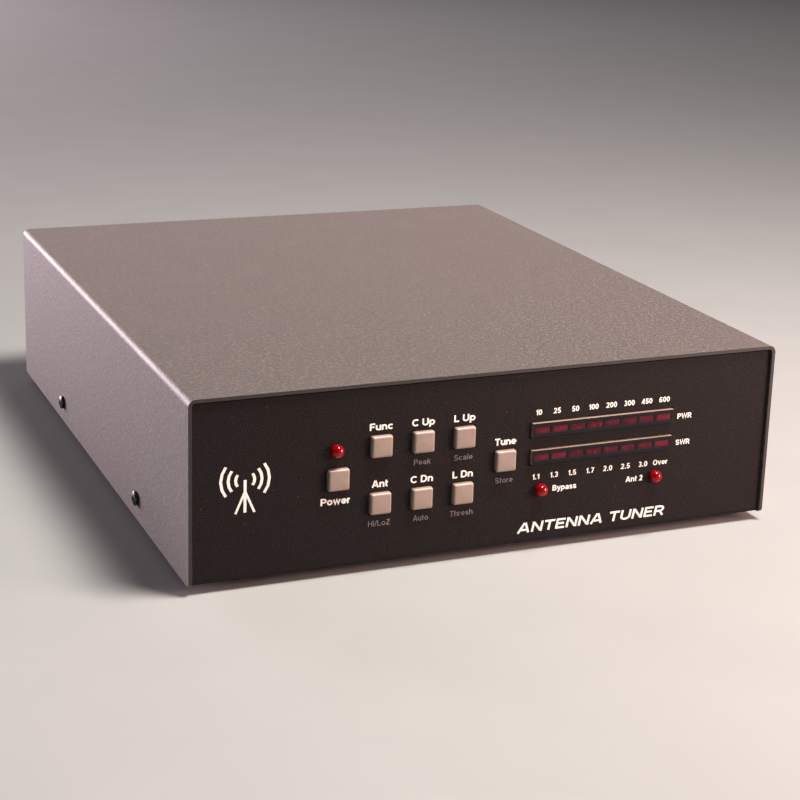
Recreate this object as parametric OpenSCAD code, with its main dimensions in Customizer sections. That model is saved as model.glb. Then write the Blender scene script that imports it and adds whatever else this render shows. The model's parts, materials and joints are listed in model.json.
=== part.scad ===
// Antenna tuner in a folded sheet-metal case, with eight push keys, three lamps and two bar meters.
// Millimetres. +X is to the right as seen from the front, +Y to the back, +Z up.
// The origin is on the surface that the feet stand on, at the centre of the whole footprint.
// Heights named *_h_at are measured up from the underside of the chassis.

/* [Case] */
// Width of the cover over its sides
cover_w = 244; // [240:1:252]
// Depth of the cover from its front edge to its rear edge
cover_d = 284; // [280:1:300]
// Height of the cover from its lower edge to its top
cover_h = 71.5; // [70:0.5:80]
// Thickness of the sheet metal
sheet = 1.4; // [1.2:0.1:1.5]
// Outside radius of the cover's long bends
cover_bend_r = 2.8; // [2.4:0.1:3.2]
// Outside radius of the chassis's bends
chassis_bend_r = 2; // [1.8:0.1:2.4]
// Distance of each panel behind the cover's edge
panel_recess = 1.1; // [0.8:0.1:1.6]
// Gap between the chassis and the cover's sides
side_gap = 0.4; // [0.2:0.1:0.5]
// Gap between the panels and the cover's top
top_gap = 0.7; // [0.4:0.1:1]
// Height of a rubber foot
foot_h = 3.6; // [3:0.2:6]
// Radius of a rubber foot where it meets the chassis
foot_r = 6.35; // [5:0.05:8]

/* [Keys] */
// Width and height of a key cap
cap_size = 8.5; // [8:0.1:9]
// Distance that a key cap stands out of the panel
cap_proud = 2; // [1.5:0.1:3]
// Clearance round a key cap in the panel
cap_gap = 0.3; // [0.2:0.05:0.5]
// Distance between columns of keys
key_pitch_x = 16.9; // [14:0.1:17]
// Distance between the upper and lower rows of keys
key_pitch_z = 22.5; // [18:0.1:24]
// Height of the middle row of keys
key_h_at = 35.3; // [34:0.1:37]
// Place of the power key, left of centre
power_x = -64.8; // [-66:0.1:-64]
// Place of the tune key, right of centre
tune_x = 3.4; // [2:0.1:4]

/* [Lamps and bar meters] */
// Diameter of a lamp's lens
lamp_d = 5; // [4.8:0.1:5.2]
// Distance that a lamp stands out of the panel
lamp_proud = 3.5; // [3:0.1:5]
// Place of the power lamp across the panel
power_lamp_x = -65.5; // [-67:0.1:-64]
// Height of the power lamp
power_lamp_h_at = 46.5; // [46:0.1:48]
// Place of the bypass lamp across the panel
bypass_x = 19.4; // [19:0.1:21]
// Place of the second antenna's lamp across the panel
antenna_2_x = 70.2; // [68:0.1:71]
// Height of the two lower lamps
lower_lamp_h_at = 21.5; // [21:0.1:23]
// Middle of the bar meters across the panel
bar_x = 45.4; // [45:0.1:46]
// Height of the power bar meter
power_bar_h_at = 46.2; // [45:0.1:47]
// Height of the standing-wave bar meter
swr_bar_h_at = 35.2; // [35:0.1:36]
// Distance between the segments of a bar meter
segment_pitch = 7.62; // [7.4:0.01:7.7]
// Distance that a bar meter stands out of the panel
bar_proud = 1.2; // [0.5:0.1:1.5]

/* [Rear panel] */
// Radius over the thread of a coaxial socket
socket_r = 7.9375; // [7.9375:0.0125:7.95]
// Length of a coaxial socket's threaded barrel
socket_l = 16.3; // [16:0.1:17]
// Radius of the bore in a coaxial socket's centre contact
contact_bore_r = 2.02; // [2:0.01:2.05]
// Height of the coaxial sockets
socket_h_at = 37; // [34:0.5:40]
// Bore radius of a 3.5 mm jack
jack_bore_r = 1.8; // [1.75:0.01:1.85]
// Radius of the ground stud
stud_r = 2.4; // [2.2:0.1:2.6]

/* [Circuit boards] */
// Thickness of a circuit board
board_t = 1.6; // [1.5:0.1:1.7]
// Distance from the front panel to the display board
display_gap = 6.5; // [6.5:0.1:7]
// Height of a main board standoff
standoff_h = 8; // [8:0.5:10]

/* [Hidden] */
$fn = 48;
eps = 0.01;

// Colours
black_paint = [0.07, 0.065, 0.07];
key_grey = [0.66, 0.6, 0.55];
lamp_red = [0.7, 0.02, 0.05];
steel = [0.72, 0.72, 0.74];
black_steel = [0.12, 0.12, 0.13];
nickel = [0.78, 0.76, 0.7];
brass = [0.78, 0.62, 0.3];
rubber_black = [0.05, 0.05, 0.05];
board_green = [0.05, 0.3, 0.14];
black_plastic = [0.1, 0.1, 0.11];
white_plastic = [0.92, 0.91, 0.88];
copper = [0.75, 0.4, 0.22];

// The lamps and the coaxial sockets are the outermost pieces, and the origin is midway between them
flange_t = 1.7;
socket_proud = flange_t + socket_l;
front_y = -(cover_d - lamp_proud + socket_proud) / 2;
rear_y = front_y + cover_d;
mid_y = front_y + cover_d / 2;
panel_y = front_y + panel_recess;
panel_back_y = panel_y + sheet;
back_y = rear_y - panel_recess;
back_inner_y = back_y - sheet;

chassis_w = cover_w - 2 * sheet - 2 * side_gap;
panel_h = cover_h - sheet - top_gap;
panel_corner_r = 1.6;

// Side flanges and the screws that hold the cover on them
flange_h = 15;
flange_inset = 4;
cover_screw_h_at = 9.1;
cover_screw_ys = [front_y + 72.5, front_y + 202];
m3_r = 1.5;
m3_clear_r = 1.75;
m3_tapped_r = 1.55;
m3_head_r = 2.9;
m3_head_h = 1.9;
cover_screw_l = 6;
board_screw_l = 5;
nut_r = 3.2;
nut_t = 2;

// Feet
foot_x = 104;
foot_inset_y = 24;

// Keys: name order is power, function, antenna, C up, C down, L up, L down, tune
upper_row = key_h_at + key_pitch_z / 2;
lower_row = key_h_at - key_pitch_z / 2;
function_x = power_x + key_pitch_x;
c_x = function_x + key_pitch_x;
l_x = c_x + key_pitch_x;
KEYS = [
  [power_x, key_h_at], [function_x, upper_row], [function_x, lower_row],
  [c_x, upper_row], [c_x, lower_row], [l_x, upper_row], [l_x, lower_row], [tune_x, key_h_at]
];
cap_face_t = 2;
cap_wall = 1.1;
cap_corner_r = 0.6;
stem_w = 3.8;
stem_gap = 0.2;
switch_w = 12;
switch_h = 3.7;
stem_into_switch = 1.3;
rivet_r = 0.8;
rivet_h = 0.3;
switch_well = 2.2;
cap_clear_of_switch = 0.7;

// Lamps: the places of power, bypass and antenna 2
LAMPS = [
  [power_lamp_x, power_lamp_h_at], [bypass_x, lower_lamp_h_at], [antenna_2_x, lower_lamp_h_at]
];
lamp_l = 8.7;
lamp_rim_r = 2.9;
lamp_rim_t = 1;
lamp_hole_r = lamp_d / 2 + 0.1;
lead_offset = 1.27;
lead_w = 0.5;
lead_hole_r = 0.5;
lead_past_board = 1;
spacer_bore_r = 1.9;

// Bar meters
segments = 8;
segment_w = 6.2;
segment_h = 2.3;
segment_below_face = 0.15;
window_gap = 0.05;
bar_w = segments * segment_pitch + 1;
bar_h = 5.8;
slot_gap = 0.5;
bar_corner_r = 0.4;

// Display board
display_y = panel_back_y + display_gap;
display_back_y = display_y + board_t;
display_w = 160;
display_h = 44;
display_x = 4;
display_h_at = 36;
display_fix_xs = [-72, 11.5, 80];
display_fix_hs = [17.5, 54.5];
standoff_r = 2.5;

// Main board
main_w = 222;
main_d = 228;
main_z = sheet + standoff_h;
main_top = main_z + board_t;
main_fix_x = 105;
main_fix_ys = [mid_y - 108, mid_y, mid_y + 108];
pillar_w = 5.5;

// Rear panel places
SOCKET_XS = [-2, -48, -88];
socket_bore_r = 6.1;
socket_mouth = 8.5;
socket_back_l = 7;
contact_r = 3;
contact_tail_l = 5;
fix_pitch = 18.26;
socket_flange_w = 25.4;
socket_screw_r = 1.4;
socket_screw_l = 8;
socket_screw_head_r = 2.5;
socket_screw_head_h = 1.5;
socket_nut_w = 5.5;
socket_nut_t = 2.2;
contact_tail_r = 1.6;
dc_x = 66;
dc_h_at = 30;
dc_barrel_r = 5.4;
dc_body_l = 14;
dc_tag_l = 3;
dc_tag_x = 2.6;
radio_x = 86;
meter_x = 104;
jack_h_at = 30;
jack_bushing_r = 3;
ground_x = 36;
ground_h_at = 22;
ground_nut_t = 3;
ground_washer_t = 1;

// Places a piece at x, at height h above the underside of the chassis
module at(x, y, h) {
  translate([x, y, foot_h + h]) children();
}

// Turns a shape drawn up from z = 0 so that it stands out towards the front
module facing_front() {
  rotate([90, 0, 0]) children();
}

// Turns a shape drawn up from z = 0 so that it stands out towards the back
module facing_back() {
  rotate([-90, 0, 0]) children();
}

// A flat rectangle with round corners, about its centre
module round_rect(w, h, r) {
  square([w - 2 * r, h], center = true);
  square([w, h - 2 * r], center = true);
  for (sx = [-1, 1], sy = [-1, 1])
    translate([sx * (w / 2 - r), sy * (h / 2 - r)]) circle(r);
}

// A pan-head screw: the head stands on z = 0 and the shank points down
module pan_screw(shank_r, shank_l, head_r, head_h) {
  recess_w = head_r * 0.32;
  recess_l = head_r * 1.15;
  difference() {
    rotate_extrude() intersection() {
      square([head_r, head_h]);
      translate([0, head_h - 2.2 * head_r]) circle(2.2 * head_r);
    }
    for (turn = [0, 90])
      rotate(turn) translate([-recess_l / 2, -recess_w / 2, head_h * 0.45])
        cube([recess_l, recess_w, head_h]);
  }
  translate([0, 0, -shank_l]) cylinder(r = shank_r, h = shank_l + eps);
}

// A hexagonal nut or pillar, w across its flats
module hex_pillar(w, h, hole_r) {
  difference() {
    cylinder(d = w / cos(30), h = h, $fn = 6);
    translate([0, 0, -1]) cylinder(r = hole_r, h = h + 2);
  }
}

// ---- Case ----

// Section of the cover: an upside-down U with round bends, about x = 0 and up from z = 0
module cover_section() {
  inner_r = cover_bend_r - sheet;
  inner_w = cover_w - 2 * sheet;
  inner_h = cover_h - sheet;
  difference() {
    union() {
      translate([-cover_w / 2, 0]) square([cover_w, cover_h - cover_bend_r]);
      translate([-cover_w / 2 + cover_bend_r, 0]) square([cover_w - 2 * cover_bend_r, cover_h]);
      for (side = [-1, 1])
        translate([side * (cover_w / 2 - cover_bend_r), cover_h - cover_bend_r]) circle(cover_bend_r);
    }
    translate([-inner_w / 2, -1]) square([inner_w, inner_h - inner_r + 1]);
    translate([-inner_w / 2 + inner_r, -1]) square([inner_w - 2 * inner_r, inner_h + 1]);
    for (side = [-1, 1])
      translate([side * (inner_w / 2 - inner_r), inner_h - inner_r]) circle(inner_r);
  }
}

// Rounds off the lower front and rear corners of the cover's sides
module cover_corner_cut(y, toward) {
  r = 2;
  translate([0, y + toward * r, foot_h + r]) rotate([90, 0, 90])
    translate([0, 0, -cover_w]) linear_extrude(2 * cover_w) difference() {
      translate([toward > 0 ? -r - 1 : 0, -r - 1]) square([r + 1, r + 1]);
      circle(r);
    }
}

module cover() {
  color(black_paint) difference() {
    translate([0, rear_y, foot_h]) facing_front() linear_extrude(cover_d) cover_section();
    cover_corner_cut(front_y, 1);
    cover_corner_cut(rear_y, -1);
    for (y = cover_screw_ys)
      at(-cover_w, y, cover_screw_h_at) rotate([0, 90, 0]) cylinder(r = m3_clear_r, h = 2 * cover_w);
  }
}

// Side view of the chassis sheet: front panel, bottom and rear panel in one folded strip
module chassis_section() {
  inner_r = chassis_bend_r - sheet;
  depth = back_y - panel_y;
  difference() {
    union() {
      translate([0, chassis_bend_r]) square([depth, panel_h - chassis_bend_r]);
      translate([chassis_bend_r, 0]) square([depth - 2 * chassis_bend_r, panel_h]);
      for (y = [chassis_bend_r, depth - chassis_bend_r])
        translate([y, chassis_bend_r]) circle(chassis_bend_r);
    }
    translate([sheet, sheet + inner_r]) square([depth - 2 * sheet, panel_h]);
    translate([sheet + inner_r, sheet]) square([depth - 2 * sheet - 2 * inner_r, panel_h]);
    for (y = [chassis_bend_r, depth - chassis_bend_r]) translate([y, chassis_bend_r]) circle(inner_r);
  }
}

// One side flange: an L with a round bend, drawn at the right-hand edge
module flange_section() {
  inner_r = chassis_bend_r - sheet;
  edge = chassis_w / 2;
  difference() {
    union() {
      translate([edge - 8, 0]) square([8 - chassis_bend_r, sheet]);
      translate([edge - sheet, chassis_bend_r]) square([sheet, flange_h - chassis_bend_r]);
      difference() {
        translate([edge - chassis_bend_r, chassis_bend_r]) circle(chassis_bend_r);
        translate([edge - 3 * chassis_bend_r, chassis_bend_r]) square([4 * chassis_bend_r, chassis_bend_r]);
        translate([edge - 3 * chassis_bend_r, 0]) square([2 * chassis_bend_r, 2 * chassis_bend_r]);
      }
    }
    translate([edge - chassis_bend_r, chassis_bend_r]) circle(inner_r);
  }
}

// The bottom sheet is trimmed where the flanges bend up from it
module chassis_sheet() {
  trim = chassis_bend_r;
  flange_l = back_y - panel_y - 2 * flange_inset;
  difference() {
    translate([-chassis_w / 2, panel_y, foot_h]) rotate([90, 0, 90])
      linear_extrude(chassis_w) chassis_section();
    for (side = [-1, 1])
      translate([side * (chassis_w / 2 - trim / 2), panel_y + flange_inset, foot_h])
        translate([-trim / 2, 0, -1]) cube([trim, flange_l, sheet + 1.5]);
  }
  for (side = [0, 1])
    mirror([side, 0, 0])
      translate([0, back_y - flange_inset, foot_h]) facing_front() linear_extrude(flange_l) flange_section();
}

// Rounds the top corners of both panels
module panel_corner_cuts() {
  r = panel_corner_r;
  for (side = [0, 1])
    mirror([side, 0, 0])
      translate([chassis_w / 2 - r, back_y + 1, foot_h + panel_h - r]) facing_front()
        linear_extrude(back_y - panel_y + 2) difference() {
          square([r + 1, r + 1]);
          circle(r);
        }
}

module front_cutouts() {
  hole_w = cap_size + 2 * cap_gap;
  for (key = KEYS)
    at(key[0], panel_back_y + 1, key[1]) facing_front() linear_extrude(sheet + 2)
      round_rect(hole_w, hole_w, cap_corner_r + cap_gap);
  for (lamp = LAMPS)
    at(lamp[0], panel_back_y + 1, lamp[1]) facing_front() cylinder(r = lamp_hole_r, h = sheet + 2);
  for (h = [power_bar_h_at, swr_bar_h_at])
    at(bar_x, panel_back_y + 1, h) facing_front() linear_extrude(sheet + 2)
      round_rect(bar_w + 2 * slot_gap, bar_h + 2 * slot_gap, bar_corner_r);
}

module rear_cutouts() {
  depth = sheet + 2;
  for (x = SOCKET_XS) {
    at(x, back_inner_y - 1, socket_h_at) facing_back() cylinder(r = socket_r + 0.2, h = depth);
    for (sx = [-1, 1], sz = [-1, 1])
      at(x + sx * fix_pitch / 2, back_inner_y - 1, socket_h_at + sz * fix_pitch / 2)
        facing_back() cylinder(r = socket_screw_r + 0.2, h = depth);
  }
  at(dc_x, back_inner_y - 1, dc_h_at) facing_back() cylinder(r = dc_barrel_r + 0.2, h = depth);
  for (x = [radio_x, meter_x])
    at(x, back_inner_y - 1, jack_h_at) facing_back() cylinder(r = jack_bushing_r + 0.2, h = depth);
  at(ground_x, back_inner_y - 1, ground_h_at) facing_back() cylinder(r = stud_r + 0.2, h = depth);
}

module chassis() {
  color(black_paint) difference() {
    chassis_sheet();
    panel_corner_cuts();
    front_cutouts();
    rear_cutouts();
    for (x = [-main_fix_x, main_fix_x], y = main_fix_ys)
      at(x, y, -1) cylinder(r = m3_clear_r, h = sheet + 2);
    for (y = cover_screw_ys)
      at(-cover_w, y, cover_screw_h_at) rotate([0, 90, 0]) cylinder(r = m3_clear_r, h = 2 * cover_w);
  }
}

module cover_screws() {
  color(black_steel) for (y = cover_screw_ys, side = [-1, 1])
    at(side * cover_w / 2, y, cover_screw_h_at) rotate([0, side * 90, 0])
      pan_screw(m3_r, cover_screw_l, m3_head_r, m3_head_h);
}

module cover_nuts() {
  color(steel) for (y = cover_screw_ys, side = [-1, 1])
    at(side * (chassis_w / 2 - sheet - nut_t), y, cover_screw_h_at) rotate([0, side * 90, 0])
      difference() {
        cylinder(r = nut_r, h = nut_t);
        translate([0, 0, -1]) cylinder(r = m3_tapped_r, h = nut_t + 2);
      }
}

module feet() {
  edge_r = 0.8;
  tread_r = foot_r - 0.7;
  color(rubber_black)
    for (x = [-foot_x, foot_x], y = [front_y + foot_inset_y, rear_y - foot_inset_y])
      translate([x, y, 0]) rotate_extrude() {
        translate([0, edge_r]) square([tread_r, foot_h - edge_r]);
        square([tread_r - edge_r, edge_r + eps]);
        translate([tread_r - edge_r, edge_r]) circle(edge_r);
        polygon([[tread_r - eps, edge_r], [foot_r, foot_h], [tread_r - eps, foot_h]]);
      }
}

// ---- Keys, switches and display ----

// A key cap with the switch plunger that it is pressed on, which moves as one piece with it
module key_cap(place) {
  face_y = panel_y - cap_proud;
  skirt_l = display_y - switch_h - cap_clear_of_switch - face_y;
  stem_l = display_y - switch_h + stem_into_switch - face_y;
  inner_w = cap_size - 2 * cap_wall;
  color(key_grey) at(place[0], face_y, place[1]) facing_back() {
    linear_extrude(cap_face_t) round_rect(cap_size, cap_size, cap_corner_r);
    linear_extrude(skirt_l) difference() {
      round_rect(cap_size, cap_size, cap_corner_r);
      square(inner_w, center = true);
    }
    linear_extrude(stem_l) square(stem_w, center = true);
  }
}

module button_power() { key_cap(KEYS[0]); }
module button_function() { key_cap(KEYS[1]); }
module button_antenna() { key_cap(KEYS[2]); }
module button_c_up() { key_cap(KEYS[3]); }
module button_c_down() { key_cap(KEYS[4]); }
module button_l_up() { key_cap(KEYS[5]); }
module button_l_down() { key_cap(KEYS[6]); }
module button_tune() { key_cap(KEYS[7]); }

// Eight sealed push switches on the display board, each with a well for its plunger and four rivets
module switches() {
  rivet_at = switch_w / 2 - 1.5;
  color(black_plastic) for (key = KEYS)
    at(key[0], display_y, key[1]) facing_front() {
      difference() {
        translate([-switch_w / 2, -switch_w / 2, 0]) cube([switch_w, switch_w, switch_h]);
        translate([0, 0, switch_h - switch_well]) linear_extrude(switch_well + 1)
          square(stem_w + 2 * stem_gap, center = true);
      }
      for (sx = [-1, 1], sz = [-1, 1])
        translate([sx * rivet_at, sz * rivet_at, switch_h - eps]) cylinder(r = rivet_r, h = rivet_h);
    }
}

module display_board() {
  color(board_green) difference() {
    at(display_x, display_back_y, display_h_at) facing_front() linear_extrude(board_t)
      round_rect(display_w, display_h, 1);
    for (x = display_fix_xs, h = display_fix_hs)
      at(x, display_back_y + 1, h) facing_front() cylinder(r = m3_clear_r, h = board_t + 2);
    for (lamp = LAMPS, side = [-1, 1])
      at(lamp[0] + side * lead_offset, display_back_y + 1, lamp[1]) facing_front()
        cylinder(r = lead_hole_r, h = board_t + 2);
  }
}

module display_standoffs() {
  color(steel) for (x = display_fix_xs, h = display_fix_hs)
    at(x, display_y, h) facing_front() difference() {
      cylinder(r = standoff_r, h = display_gap);
      translate([0, 0, -1]) cylinder(r = m3_tapped_r, h = display_gap - 0.5);
    }
}

module display_screws() {
  color(steel) for (x = display_fix_xs, h = display_fix_hs)
    at(x, display_back_y, h) facing_back() pan_screw(m3_r, cover_screw_l, m3_head_r, m3_head_h);
}

// A round lamp: rim, barrel and domed end, with two leads that run back through the board
module lamp(place) {
  rim_back_y = panel_y - lamp_proud + lamp_l;
  lead_l = display_back_y + lead_past_board - rim_back_y;
  dome_r = lamp_d / 2;
  color(lamp_red) at(place[0], rim_back_y, place[1]) facing_front() {
    cylinder(r = lamp_rim_r, h = lamp_rim_t);
    cylinder(r = dome_r, h = lamp_l - dome_r);
    translate([0, 0, lamp_l - dome_r]) sphere(dome_r);
    for (side = [-1, 1])
      translate([side * lead_offset - lead_w / 2, -lead_w / 2, -lead_l]) cube([lead_w, lead_w, lead_l + eps]);
  }
}

module led_power() { lamp(LAMPS[0]); }
module led_bypass() { lamp(LAMPS[1]); }
module led_antenna_2() { lamp(LAMPS[2]); }

// Short tubes that hold the lamps at their height over the board
module led_spacers() {
  spacer_l = display_y - (panel_y - lamp_proud + lamp_l);
  color(black_plastic) for (lamp = LAMPS)
    at(lamp[0], display_y, lamp[1]) facing_front() difference() {
      cylinder(r = lamp_rim_r, h = spacer_l);
      translate([0, 0, -1]) cylinder(r = spacer_bore_r, h = spacer_l + 2);
    }
}

// A bar meter's housing: a block on the board with one window for each segment
module bar_holder(h_at) {
  block_l = display_y - panel_y + bar_proud;
  color(black_plastic) at(bar_x, display_y, h_at) facing_front() linear_extrude(block_l) difference() {
    round_rect(bar_w, bar_h, bar_corner_r);
    for (i = [0 : segments - 1])
      translate([(i - (segments - 1) / 2) * segment_pitch, 0])
        square([segment_w + 2 * window_gap, segment_h + 2 * window_gap], center = true);
  }
}

// The eight flat lamps of a bar meter, a little below the housing's face
module bar_leds(h_at) {
  segment_l = display_y - panel_y + bar_proud - segment_below_face;
  color(lamp_red) for (i = [0 : segments - 1])
    at(bar_x + (i - (segments - 1) / 2) * segment_pitch, display_y, h_at) facing_front()
      linear_extrude(segment_l) square([segment_w, segment_h], center = true);
}

module power_bar_holder() { bar_holder(power_bar_h_at); }
module power_bar_leds() { bar_leds(power_bar_h_at); }
module swr_bar_holder() { bar_holder(swr_bar_h_at); }
module swr_bar_leds() { bar_leds(swr_bar_h_at); }

// ---- Main board ----

module main_board() {
  color(board_green) difference() {
    at(0, mid_y, main_z) linear_extrude(board_t) round_rect(main_w, main_d, 2);
    for (x = [-main_fix_x, main_fix_x], y = main_fix_ys)
      at(x, y, main_z - 1) cylinder(r = m3_clear_r, h = board_t + 2);
  }
}

module board_standoffs() {
  color(nickel) for (x = [-main_fix_x, main_fix_x], y = main_fix_ys)
    at(x, y, sheet) hex_pillar(pillar_w, standoff_h, m3_tapped_r);
}

module board_screws() {
  color(steel) for (x = [-main_fix_x, main_fix_x], y = main_fix_ys)
    at(x, y, main_top) pan_screw(m3_r, board_screw_l, m3_head_r, m3_head_h);
}

module bottom_screws() {
  color(black_steel) for (x = [-main_fix_x, main_fix_x], y = main_fix_ys)
    at(x, y, 0) mirror([0, 0, 1]) pan_screw(m3_r, board_screw_l, m3_head_r, m3_head_h);
}

// Rings of pressed iron powder: [outer radius, inner radius, height]
big_ring = [25.4, 15.9, 14];
small_ring = [13.5, 7.2, 11];
big_x = -82;
small_x = -46;
rings = 4;
big_ring_pitch = 54.5;
small_ring_pitch = 32;
big_first_y = mid_y - 1.5 * big_ring_pitch;
small_first_y = mid_y - 85;
big_turns = 20;
small_turns = 12;
wire_t = 1.5;
wire_gap = 0.1;

// A ring lying flat on z = 0
module ring_core(ring) {
  edge_cut = 1.4;
  difference() {
    cylinder(r = ring[0], h = ring[2]);
    translate([0, 0, -1]) cylinder(r = ring[1], h = ring[2] + 2);
    for (z = [0, ring[2]]) translate([0, 0, z]) rotate_extrude()
      for (r = [ring[0], ring[1]]) translate([r, 0]) rotate(45) square(edge_cut, center = true);
  }
}

// Turns of wire round a ring core: flat loops, each a wire's width clear of the core
module ring_turns(ring, turns) {
  wound_angle = 300;
  loop_w = ring[0] - ring[1] + 2 * wire_gap;
  loop_h = ring[2] + 2 * wire_gap;
  for (i = [0 : turns - 1])
    rotate(i * wound_angle / (turns - 1)) translate([(ring[0] + ring[1]) / 2, wire_t / 2, ring[2] / 2])
      rotate([90, 0, 0]) linear_extrude(wire_t) difference() {
        round_rect(loop_w + 2 * wire_t, loop_h + 2 * wire_t, wire_t);
        square([loop_w, loop_h], center = true);
      }
}

// Sets a shape that lies flat upright, facing sideways, with its lowest point on the board
module upright(ring) {
  translate([-ring[2] / 2, 0, ring[0] + wire_t + wire_gap]) rotate([0, 90, 0]) children();
}

module inductor_cores() {
  color([0.6, 0.12, 0.08]) for (i = [0 : rings - 1]) {
    at(big_x, big_first_y + i * big_ring_pitch, main_top + wire_t + wire_gap) ring_core(big_ring);
    at(small_x, small_first_y + i * small_ring_pitch, main_top) upright(small_ring) ring_core(small_ring);
  }
}

module inductor_windings() {
  color(copper) for (i = [0 : rings - 1]) {
    at(big_x, big_first_y + i * big_ring_pitch, main_top + wire_t + wire_gap) ring_turns(big_ring, big_turns);
    at(small_x, small_first_y + i * small_ring_pitch, main_top)
      upright(small_ring) ring_turns(small_ring, small_turns);
  }
}

// A relay in its sealed case, standing on the board: size is [width, depth, height]
module relay_case(size) {
  step = 1;
  corner_r = 0.8;
  linear_extrude(size[2] - step) round_rect(size[0], size[1], corner_r);
  translate([0, 0, size[2] - step - eps]) linear_extrude(step + eps)
    round_rect(size[0] - step, size[1] - step, corner_r);
}

bank_rows = 8;
bank_pitch = 15.5;
bank_first_y = mid_y - 94;

module bank_relays() {
  color([0.15, 0.22, 0.5]) for (x = [-19, 19], i = [0 : bank_rows - 1])
    at(x, bank_first_y + i * bank_pitch, main_top) relay_case([29, 12.7, 16]);
}

module antenna_relays() {
  color(black_plastic) for (x = [-26, 14])
    at(x, mid_y + 88, main_top) relay_case([30, 26, 24]);
}

// Disc capacitors standing on edge, one beside each row of relays
module high_voltage_capacitors() {
  disc_x = 46;
  disc_r = 7.5;
  disc_t = 4.6;
  over_board = 2;
  wire_r = 0.4;
  wire_x = 3.5;
  color([0.2, 0.35, 0.62]) for (i = [0 : bank_rows - 1])
    at(disc_x, bank_first_y + i * bank_pitch, main_top + disc_r + over_board) rotate([90, 0, 0]) {
      rotate_extrude() {
        translate([0, -disc_t / 2]) square([disc_r - disc_t / 2, disc_t]);
        translate([disc_r - disc_t / 2, 0]) intersection() {
          circle(disc_t / 2);
          translate([0, -disc_t / 2]) square([disc_t / 2, disc_t]);
        }
      }
      for (side = [-1, 1])
        translate([side * wire_x, -disc_r - over_board, 0]) rotate([-90, 0, 0])
          cylinder(r = wire_r, h = disc_r - disc_t / 2);
    }
}

// A chip in a socket, l long along Y and w wide
module chip(l, w) {
  socket_h = 4;
  socket_side = 1;
  chip_h = 3.4;
  notch_r = 1.2;
  translate([-w / 2 - socket_side, -l / 2, 0]) cube([w + 2 * socket_side, l, socket_h]);
  difference() {
    translate([-w / 2, -l / 2, socket_h - eps]) cube([w, l, chip_h]);
    translate([0, -l / 2, socket_h + chip_h - 1]) cylinder(r = notch_r, h = 2);
  }
}

module control_chips() {
  first_y = mid_y - 70;
  small_pitch = 28;
  color(black_plastic) {
    at(88, first_y, main_top) chip(52, 14);
    for (i = [0 : 2]) at(66, first_y + i * small_pitch, main_top) chip(23, 6.6);
  }
}

heat_sink_x = 92;
heat_sink_y = mid_y + 78;
tab_hole_z = 20;

module heat_sink() {
  w = 32;
  h = 30;
  base_t = 3;
  fins = 5;
  fin_t = 2;
  fin_l = 12;
  fin_pitch = (w - fin_t) / (fins - 1);
  color(black_steel) at(heat_sink_x, heat_sink_y, main_top) difference() {
    union() {
      translate([-w / 2, 0, 0]) cube([w, base_t, h]);
      for (i = [0 : fins - 1]) translate([-w / 2 + i * fin_pitch, base_t - eps, 0]) cube([fin_t, fin_l, h]);
    }
    translate([0, -1, tab_hole_z]) rotate([-90, 0, 0]) cylinder(r = m3_tapped_r, h = base_t + 2);
  }
}

// A flat-packed regulator with its tab against the heat sink and three legs on the board
module regulator() {
  w = 10;
  body_t = 3.2;
  body_h = 9;
  tab_t = 1.3;
  tab_h = 18;
  leg_w = 0.8;
  leg_t = 0.6;
  leg_h = 5;
  leg_y = -3.4;
  leg_pitch = 2.5;
  color(black_plastic) at(heat_sink_x, heat_sink_y, main_top) difference() {
    union() {
      translate([-w / 2, -tab_t - body_t, leg_h]) cube([w, body_t, body_h]);
      translate([-w / 2, -tab_t, leg_h]) cube([w, tab_t, tab_h]);
      for (i = [-1 : 1]) translate([i * leg_pitch - leg_w / 2, leg_y, 0]) cube([leg_w, leg_t, leg_h + eps]);
    }
    translate([0, -tab_t - body_t - 1, tab_hole_z]) rotate([-90, 0, 0])
      cylinder(r = m3_clear_r, h = tab_t + body_t + 2);
  }
}

// Upright round capacitors: [x, y behind the board's middle, radius, height]
FILTER_CAPACITORS = [[66, 40, 6.3, 22], [66, 58, 6.3, 22], [84, 44, 4, 12]];

module filter_capacitors() {
  crimp = 0.7;
  crimp_h = 1;
  color([0.1, 0.12, 0.2]) for (can = FILTER_CAPACITORS)
    at(can[0], mid_y + can[1], main_top) {
      cylinder(r = can[2], h = can[3] - crimp_h);
      translate([0, 0, can[3] - crimp_h - eps]) cylinder(r = can[2] - crimp, h = crimp_h);
    }
}

// Two ferrite rings on the board round a stub of coaxial line: they sense forward and reflected power
coupler_r = 10.5;
coupler_y = mid_y + 46;
coupler_z = main_top + coupler_r;

module coupler_cores() {
  bore_r = 6.5;
  l = 8;
  color([0.2, 0.2, 0.21]) for (x = [-24, -6])
    at(x, coupler_y, coupler_z) rotate([0, 90, 0]) difference() {
      cylinder(r = coupler_r, h = l);
      translate([0, 0, -1]) cylinder(r = bore_r, h = l + 2);
    }
}

module coupler_line() {
  line_r = 2.5;
  line_x = -37;
  line_l = 52;
  post_r = 1.2;
  post_inset = 4;
  color(white_plastic) {
    at(line_x, coupler_y, coupler_z) rotate([0, 90, 0]) cylinder(r = line_r, h = line_l);
    for (x = [line_x + post_inset, line_x + line_l - post_inset])
      at(x, coupler_y, main_top) cylinder(r = post_r, h = coupler_z - main_top);
  }
}

// ---- Ribbon cable from the main board to the display board ----

ribbon_x = 45;
ribbon_w = 25.4;
ribbon_t = 0.9;
ribbon_bend = 4;
ribbon_h_at = 36;
header_l = 33;
header_w = 9;
header_h = 9;
plug_h = 6;
plug_w = 6.2;
ribbon_run_y = front_y + 31;
ribbon_drop_y = ribbon_run_y + ribbon_bend;
display_plug_y = display_back_y + header_h + plug_h;
main_plug_h_at = main_top + header_h + plug_h;

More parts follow.
